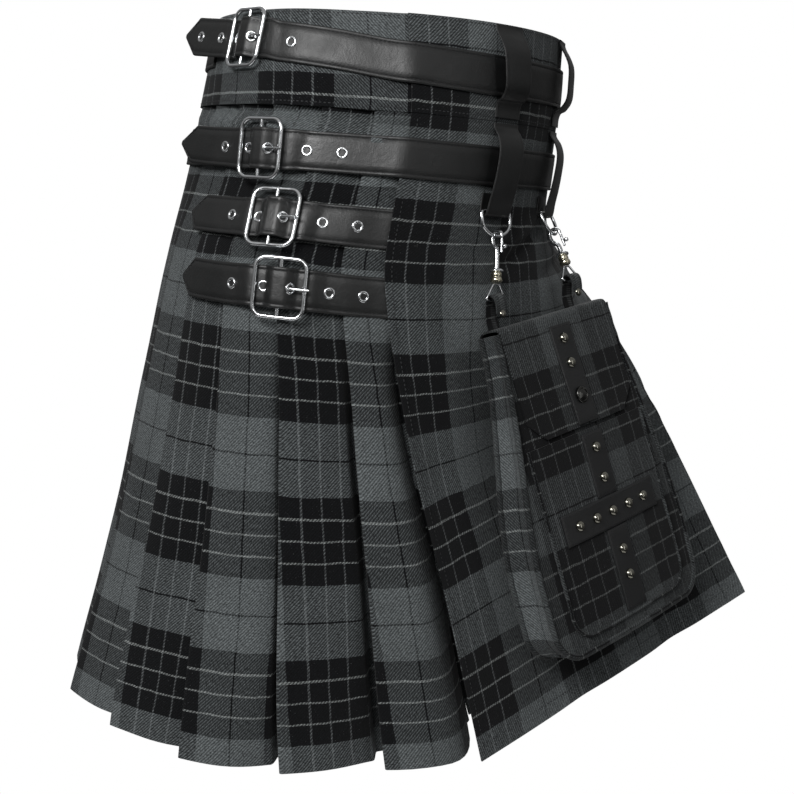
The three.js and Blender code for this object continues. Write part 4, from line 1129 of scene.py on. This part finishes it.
def wire_eye(start, end):
    corners = np.array([[-3.2, start + 1.1, 0], [3.2, start + 1.1, 0], [11.6, end, 0], [-11.6, end, 0]])
    sides = zip(corners, np.roll(corners, -1, 0))
    return tube([mix(a, b, t) for a, b in sides for t in np.linspace(0.08, 0.92, 8)], 1.0, 10, True)


def build_hardware():
    for side, x in LOOP_X.items():
        build_loop(f"loop_upper_{side}", x, UPPER_LOOP, 60, 0.98)
        build_loop(f"loop_lower_{side}", x, LOWER_LOOP, 90, 0.62)
        bar = lifted(RING_BAR[0], x, RING_BAR[1])
        eye = in_pocket([TAB_X[side], *TAB_BAR])
        across = frame_at(RING_BAR[0], x)[1]
        ring_down = eye - bar
        ring_down = unit(ring_down - across * (ring_down @ across))
        columns = [across, ring_down, np.cross(across, ring_down)]
        make(f"d_ring_{side}", set_at(columns, bar, tube(d_ring_path(), WIRE / 2, closed=True)), CHROME)
        arch = bar + ring_down * RING_DROP
        down = unit(eye - arch)
        origin = arch - down * RING_DROP
        reach = float(np.linalg.norm(eye - origin))
        out = -unit(np.cross(across, down))
        build_hook(side, [out, down, np.cross(out, down)], origin, reach)
        eye_across = unit(POCKET_COLUMNS[0] - down * (POCKET_COLUMNS[0] @ down))
        columns = [eye_across, down, np.cross(eye_across, down)]
        wire = wire_eye(reach - SWIVEL_LENGTH + BARREL_LENGTH + SEAM, reach)
        make(f"hook_eye_{side}", set_at(columns, origin, wire), CHROME)


# ---- bellows pocket ----
def pocket_depth(y):
    return mix(*POCKET_DEPTH, smooth((POCKET_TOP - y) / 200))


def rounded_half(y, side, bottom, corner):
    """Half a panel's width, whose bottom corners are round."""
    into = np.clip(bottom + corner - y, 0, corner)
    return side - corner + np.sqrt(np.maximum(0, corner ** 2 - into ** 2))


def pocket_half(y):
    side = mix(*POCKET_HALF, smooth((POCKET_TOP - y) / 210))
    return rounded_half(y, side, POCKET_BOTTOM, POCKET_CORNER)


def patch_half(y):
    return rounded_half(y, PATCH_HALF, PATCH_BOTTOM, PATCH_CORNER)


def crown(x, y):
    return CROWN * (1 - (x / 100) ** 2) * smooth((POCKET_TOP - y) / 120)


def pocket_back_at(x, y):
    return -pocket_depth(y)


def patch_at(x, y):
    return crown(x, y) + ON_FRONT


ON_FRONT = POCKET_CLOTH + SEAM
FLAP_HALF, FLAP_END, FLAP_CUT, FLAP_LIFT = 70, -82, 17, ON_FRONT + 1
PATCH_HALF, PATCH_TOP, PATCH_BOTTOM, PATCH_CORNER = 76, -86, -244, 20
# Where the tartan's grey column stands on the panels and the flap, and where its rows begin.
PANEL_GREY_AT, FLAP_GREY_AT, PANEL_ROWS_AT = 12, 2, -168
GUSSET_STEPS = 13
RIM_STEPS, RIM_SIDES = 150, 10


def panel_levels(top, bottom, corner):
    straight = np.linspace(top, bottom + corner, 46)
    rounded = bottom + corner * (1 - np.sin(np.linspace(0, math.pi / 2 * 0.93, 14)))
    return np.concatenate([straight, rounded[1:]])


def in_pocket_wall(front, behind):
    return between(in_pocket(front), in_pocket(behind))


def pocket_panel(name, levels, half_at, z_at, columns):
    """A panel of the pocket, which puffs a little in waves beside its sewn rim."""
    share = np.linspace(-1, 1, columns + 1)
    share = np.sign(share) * np.abs(share) ** 0.75
    y = levels[:, None] + 0 * share
    x = half_at(levels)[:, None] * share
    puff = 0.7 * np.sin(y / 11 + 2 * np.sin(x / 30)) * np.exp(-((1 - np.abs(share)) * 9) ** 2)
    middle = np.stack([x, y, z_at(x, y) + puff], -1)
    half = [0, 0, POCKET_CLOTH / 2]
    uv = np.stack([x - PANEL_GREY_AT + COLUMN_MIDDLE[1], PANEL_ROWS_AT - y], -1)
    piece = make(name, in_pocket_wall(middle + half, middle - half), TARTAN_POCKET_PAINTED_SHADE, uv)


def outline_of(levels, half_at):
    left = np.stack([-half_at(levels), levels], -1)
    return np.concatenate([left, left[::-1] * [-1, 1]])


def rim(name, outline, z_at, lift, radius):
    """A rolled, overcast edge along an outline of the pocket."""
    x, y = fine_path(outline, RIM_STEPS).T
    path = np.column_stack([x, y, z_at(x, y) + lift + 0.25 * np.sin(np.arange(RIM_STEPS) * 1.9)])
    points, faces = tube(path, radius, RIM_SIDES)
    around = np.tile(np.arange(RIM_SIDES), RIM_STEPS) * radius * 0.6 + 92
    uv = np.stack([around, np.repeat(run_length(path), RIM_SIDES)], -1)
    make(name, (in_pocket(points), faces), TARTAN_POCKET_PAINTED_SHADE, uv)


def build_gusset(levels):
    outline = outline_of(levels, lambda y: pocket_half(y) - 1.2)
    left, right = np.split(outline, 2)
    bottom_x = np.linspace(left[-1, 0], right[0, 0], 12)[1:-1]
    bottom = np.stack([bottom_x, np.full(10, outline[:, 1].min() + 0.6)], -1)
    outline = np.concatenate([left, bottom, right])
    x, y = outline.T
    run = run_length(outline)
    rows, uv = [], []
    for t in np.linspace(0, 1, GUSSET_STEPS):
        front = crown(x, y) - POCKET_CLOTH / 2 - SEAM
        behind = -pocket_depth(y) + POCKET_CLOTH / 2 + SEAM
        pinch = 3.0 * np.sin(math.pi * t) ** 2 + 1.1 * np.sin(run / 14) * np.sin(math.pi * t)
        inward = np.where(y > POCKET_BOTTOM + 4, np.sign(x) * np.maximum(pinch, 0), 0)
        rows.append(np.stack([x - inward, y, mix(front, behind, t)], -1))
        uv.append(np.stack([np.full(len(x), t * 28 + 84), run], -1))
    rows = np.array(rows)
    gusset = make("pocket_gusset", in_pocket_wall(*wall(rows, POCKET_CLOTH)), TARTAN, np.array(uv))


# The flap's profile from behind the pocket over its top: y up, z out.
FLAP_PROFILE = [[POCKET_TOP - 3, -POCKET_DEPTH[0] - 2], [POCKET_TOP + 1, -POCKET_DEPTH[0] - 1.8],
                [POCKET_TOP + 3.4, -POCKET_DEPTH[0] + 2], [POCKET_TOP + 3.6, -4], [POCKET_TOP + 2.2, 1],
                [POCKET_TOP - 4, FLAP_LIFT - 0.3], [-20, FLAP_LIFT], [-45, FLAP_LIFT],
                [FLAP_END + FLAP_CUT, FLAP_LIFT], [FLAP_END, FLAP_LIFT]]
FLAP_ROWS_AT = -27


def build_flap():
    fine = fine_path(FLAP_PROFILE, 60)
    share = np.linspace(-1, 1, 41)
    y, z = (fine[:, k][:, None] + 0 * share for k in (0, 1))
    half = FLAP_HALF - FLAP_CUT * np.clip((FLAP_END + FLAP_CUT - fine[:, 0]) / FLAP_CUT, 0, 1)
    x = half[:, None] * share
    z = z + np.where((z > 0) & (y < POCKET_TOP - 3), crown(x, y), 0)
    z = z + 0.6 * np.sin(x / 13) * smooth((-y - 30) / 50)
    middle = np.stack([x, y, z], -1)
    tangent = unit(np.gradient(middle[..., 1:], axis=0))
    normal = np.stack([0 * x, tangent[..., 1], -tangent[..., 0]], -1) * POCKET_CLOTH / 2
    down = run_length(fine)
    face_start = down[np.argmin(np.abs(fine[:, 0] - FLAP_ROWS_AT) + 50 * (fine[:, 1] < 0))]
    uv = np.stack([x - FLAP_GREY_AT + COLUMN_MIDDLE[1], (down - face_start)[:, None] + 0 * x], -1)
    flap = make("pocket_flap", in_pocket_wall(middle - normal, middle + normal), TARTAN_POCKET_PAINTED_SHADE, uv)


def build_pocket():
    levels = panel_levels(POCKET_TOP, POCKET_BOTTOM, POCKET_CORNER)
    patch_levels = panel_levels(PATCH_TOP, PATCH_BOTTOM, PATCH_CORNER)
    pocket_panel("pocket_front", levels, pocket_half, crown, 44)
    pocket_panel("pocket_back", levels, pocket_half, pocket_back_at, 24)
    pocket_panel("pocket_patch", patch_levels, patch_half, patch_at, 40)
    build_gusset(levels)
    build_flap()
    rim("pocket_front_rim", outline_of(levels, pocket_half), crown, 0.3, 2.6)
    rim("pocket_back_rim", outline_of(levels, pocket_half), pocket_back_at, -0.2, 2.4)
    rim("pocket_patch_rim", outline_of(patch_levels, patch_half), patch_at, 0.3, 1.5)
    for strip in STRIPS:
        build_strip(strip)


# ---- strips, studs and tabs on the pocket ----
STRIPS = [
    {"name": "strip_flap", "under": FLAP_LIFT + 0.2, "top": POCKET_TOP - 6, "bottom": -80, "half": 13,
     "studs": [(0, -8), (0, -29)], "snap": (0, -57)},
    {"name": "strip_upper", "under": ON_FRONT, "top": -89, "bottom": -143, "half": 13,
     "studs": [(0, -102), (0, -128)]},
    {"name": "strip_cross", "under": ON_FRONT, "top": -144, "bottom": -170, "half": 62,
     "studs": [(x, -157) for x in (-44, -22, 0, 22, 44)]},
    {"name": "strip_lower", "under": ON_FRONT, "top": -171, "bottom": -240, "half": 13,
     "studs": [(0, -190), (0, -212)]},
]
ON_PANEL = POCKET_CLOTH / 2 + SEAM + THIN_LEATHER / 2
STRIP_EDGE = [-1, -0.98, -0.93, -0.86]
SNAP_PROFILE = [(0.01, -0.3), (6.6, -0.3), (7, 0.1), (7, 1.2), (6.4, 1.8), (5.4, 1.9), (4.9, 1.4), (4.2, 1.7),
                (2.4, 2.6), (0.01, 3.0)]


def dome(diameter, height):
    r = diameter / 2
    profile = [(0.01, -0.3), (r * 0.9, -0.3), (r, 0.0), (r, 0.3)]
    cap = np.radians([12, 30, 50, 70, 84])
    profile += [(r * 0.98 * math.cos(a), 0.3 + height * math.sin(a)) for a in cap]
    return lathe([*profile, (0.01, 0.3 + height)], 30)


def pocket_metal(name, shape, place, finish):
    points, faces = shape
    make(name, (in_pocket(points + place), faces), finish)


def build_strip(strip):
    top, bottom, half = strip["top"], strip["bottom"], strip["half"]

    def z_at(x, y, lift):
        """A height above the strip's middle."""
        return crown(x, y) + strip["under"] + ON_PANEL + lift

    inner = [-0.5, 0, 0.5] if half < 20 else np.linspace(-0.8, 0.8, 21)
    share = np.array([*STRIP_EDGE, *inner, *(-s for s in STRIP_EDGE[::-1])])
    y = np.linspace(top, bottom, 30)[:, None] + 0 * share
    x = half * share + 0 * y
    edge = np.minimum(half - np.abs(x), np.minimum(top - y, y - bottom)) / 1.2
    round_off = 0.45 * (1 - np.sqrt(np.clip(edge, 0, 1)))
    front = np.stack([x, y, z_at(x, y, THIN_LEATHER / 2) - round_off], -1)
    behind = np.stack([x, y, z_at(x, y, -THIN_LEATHER / 2)], -1)
    make(strip["name"], in_pocket_wall(front, behind), LEATHER_MATT, sharp=60)
    seat = THIN_LEATHER / 2 + SEAM
    for i, (x, y) in enumerate(strip["studs"]):
        pocket_metal(f'{strip["name"]}_stud_{i + 1}', dome(STUD, 3), [x, y, z_at(x, y, seat)], STUD_METAL)
    if "snap" in strip:
        x, y = strip["snap"]
        pocket_metal("flap_snap", lathe(SNAP_PROFILE, 36), [x, y, z_at(x, y, seat + 0.2)], SNAP_METAL)
    left, high, low = 2 - half, top - 2, bottom + 2
    corners = [(left, high), (left, low), (-left, low), (-left, high), (left, high)]
    for (x0, y0), (x1, y1) in zip(corners, corners[1:]):
        t = np.linspace(0, 1, 16)
        x, y = mix(x0, x1, t), mix(y0, y1, t)
        path = in_pocket(np.stack([x, y, z_at(x, y, THIN_LEATHER / 2 - 0.05)], -1))
        stitch_run("leather", path, np.tile(POCKET_COLUMNS[2], (16, 1)), 3.0, 2.0, 0.28)


TAB_PROFILE = [[-8, -4.2], [0, -4.1], [13, -3.6], [20, -1.4], [25.8, 1], [29.8, 2.8], [31.2, 6], [29.8, 9.6],
               [25.8, 11], [20, 10.2], [16, 9]]


def build_tabs():
    steps = 50
    fine = fine_path(TAB_PROFILE, steps) + [POCKET_TOP, -POCKET_DEPTH[0]]
    for side, tab_x in TAB_X.items():
        path = np.column_stack([np.full(steps, tab_x), fine])
        front, behind, _ = ribbon(path, TAB_HALF, POCKET_CLOTH, np.tile([1.0, 0, 0], (steps, 1)))
        u = np.tile(np.linspace(-TAB_HALF, TAB_HALF, front.shape[1]), (steps, 1)) + DARK / 2
        uv = np.stack([u, np.linspace(0, 90, steps)[:, None] + 0 * u], -1)
        name = f"pocket_tab_{side}"
        make(name, in_pocket_wall(front, behind), TARTAN_POCKET_PAINTED_SHADE, uv)
        rivet = [tab_x, POCKET_TOP + 15, -POCKET_DEPTH[0] + 9.6]
        pocket_metal(f"{name}_rivet", dome(7, 2), rivet, STUD_METAL)


# ---- sewing on the cloth ----
EDGE_SEWN, HEM_SEWN = 5, 12


def cloth_run(sheet, levels, ts, depth):
    levels, ts = np.broadcast_arrays(np.asarray(levels, float), np.asarray(ts, float))
    depths = np.full(levels.shape, float(depth))
    points = sheet.inset(levels, ts, depths)
    stitch_run("cloth", points, unit(points - sheet.inset(levels, ts, depths + 1)), 3.6)


def build_sewing():
    on_band, on_cloth = -BAND_CLOTH / 2, -CLOTH / 2
    for w in (3, BAND - 3):
        cloth_run(back, w, np.linspace(0.01, 0.995, 300), on_band)
        cloth_run(apron, w, np.linspace(0.01, 0.98, 120), on_band)
    levels = np.linspace(BAND + 4, LENGTH - 4, 160)
    cloth_run(apron, levels, EDGE_SEWN / apron.span(levels), on_cloth)
    cloth_run(apron, LENGTH - HEM_SEWN, np.linspace(0.01, 0.99, 160), on_cloth)
    for kind, finish in (("leather", THREAD_BLACK), ("cloth", THREAD_GREY)):
        make(f"stitching_{kind}", join(STITCHES[kind]), finish)


# ---- carried-over nodes ----
def finish_cad_nodes():
    for name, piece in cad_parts.items():
        if piece.hide_render:
            continue
        material, slot = LEATHER_BLACK if "chape" in name else CHROME
        piece.data.materials.clear()
        piece.data.materials.append(material)
        bevel = piece.modifiers.new("soft_edge", "BEVEL")
        bevel.width = 0.0003
        bevel.segments = 2
        bevel.limit_method = "ANGLE"


# ---- camera, floor and light ----
CAMERA_AZIMUTH, CAMERA_PITCH = -67.6, 8.14
CAMERA_DISTANCE, CAMERA_SIDE, CAMERA_HEIGHT = 1159, 9.7, -133
FOCAL_PIXELS, PICTURE_PIXELS, SENSOR = 1256, 794, 36
FLOOR, FLOOR_RADIUS, FLOOR_SIDES = -1.25, 1.15, 96
MIDDLE = Vector((0, 0, -0.25))
# Metres away from the camera's side, to the right and up, then size and watts.
LIGHTS = {
    "key": (1.7, -0.8, 0.8, (0.9, 0.7), 35),
    "fill": (1.1, 1.3, 0.1, (0.16, 1.6), 2),
    "glint": (1.7, 0.1, 0.45, (0.9, 0.12), 3),
    "back": (-1.6, 0, 1.1, (1.4, 1.2), 26),
}


def build_floor():
    pale = Nodes(bpy.data.materials.new("pale_floor"))
    pale.set(Base_Color=srgb(236, 236, 236), Roughness=0.85)
    around = np.linspace(0, 2 * math.pi, FLOOR_SIDES, endpoint=False)
    mesh = bpy.data.meshes.new("floor")
    rim_points = [(FLOOR_RADIUS * math.cos(a), FLOOR_RADIUS * math.sin(a), FLOOR) for a in around]
    mesh.from_pydata(rim_points, [], [tuple(range(FLOOR_SIDES))])
    mesh.materials.append(pale.owner)
    add_object("floor", mesh)


def build_world():
    """A white backdrop, and for light and reflections grey walls, brighter above than below."""
    n = Nodes(bpy.data.worlds.new("studio"), "Background")
    direction = n.add("ShaderNodeTexCoord").outputs["Generated"]
    height = n.add("ShaderNodeSeparateXYZ", {0: direction}).outputs["Z"]
    walls = n.spread(height, 0.04, 0.32, -0.5, 0.8, "SMOOTHSTEP")
    seen = n.add("ShaderNodeLightPath").outputs["Is Camera Ray"]
    n.set(Color=n.add("ShaderNodeMix", {0: seen, 2: walls, 3: 1.0}).outputs[0])
    bpy.context.scene.world = n.owner
    bpy.context.scene.view_settings.view_transform = "Standard"


def build_camera_and_lights():
    a, pitch = math.radians(CAMERA_AZIMUTH), math.radians(CAMERA_PITCH)
    near = Vector((math.sin(a), -math.cos(a), 0))
    right = Vector((math.cos(a), math.sin(a), 0))
    data = bpy.data.cameras.new("camera")
    data.sensor_width = SENSOR
    data.lens = FOCAL_PIXELS * SENSOR / PICTURE_PIXELS
    camera = add_object("camera", data)
    camera.location = (near * CAMERA_DISTANCE + right * CAMERA_SIDE + Vector((0, 0, CAMERA_HEIGHT))) * MM
    forward = -near * math.cos(pitch) - Vector((0, 0, math.sin(pitch)))
    camera.rotation_euler = forward.to_track_quat("-Z", "Y").to_euler()
    bpy.context.scene.camera = camera
    for name, (towards, aside, high, size, power) in LIGHTS.items():
        data = bpy.data.lights.new(name, "AREA")
        data.shape = "RECTANGLE"
        data.size, data.size_y = size
        data.energy = power
        lamp = add_object(name, data)
        lamp.location = near * towards + right * aside + Vector((0, 0, high))
        lamp.rotation_euler = (MIDDLE - lamp.location).to_track_quat("-Z", "Y").to_euler()


build_cloth()
for strap in STRAPS:
    build_strap(strap)
    build_buckle(strap)
build_hardware()
build_pocket()
build_tabs()
build_sewing()
finish_cad_nodes()
build_camera_and_lights()
build_floor()
build_world()
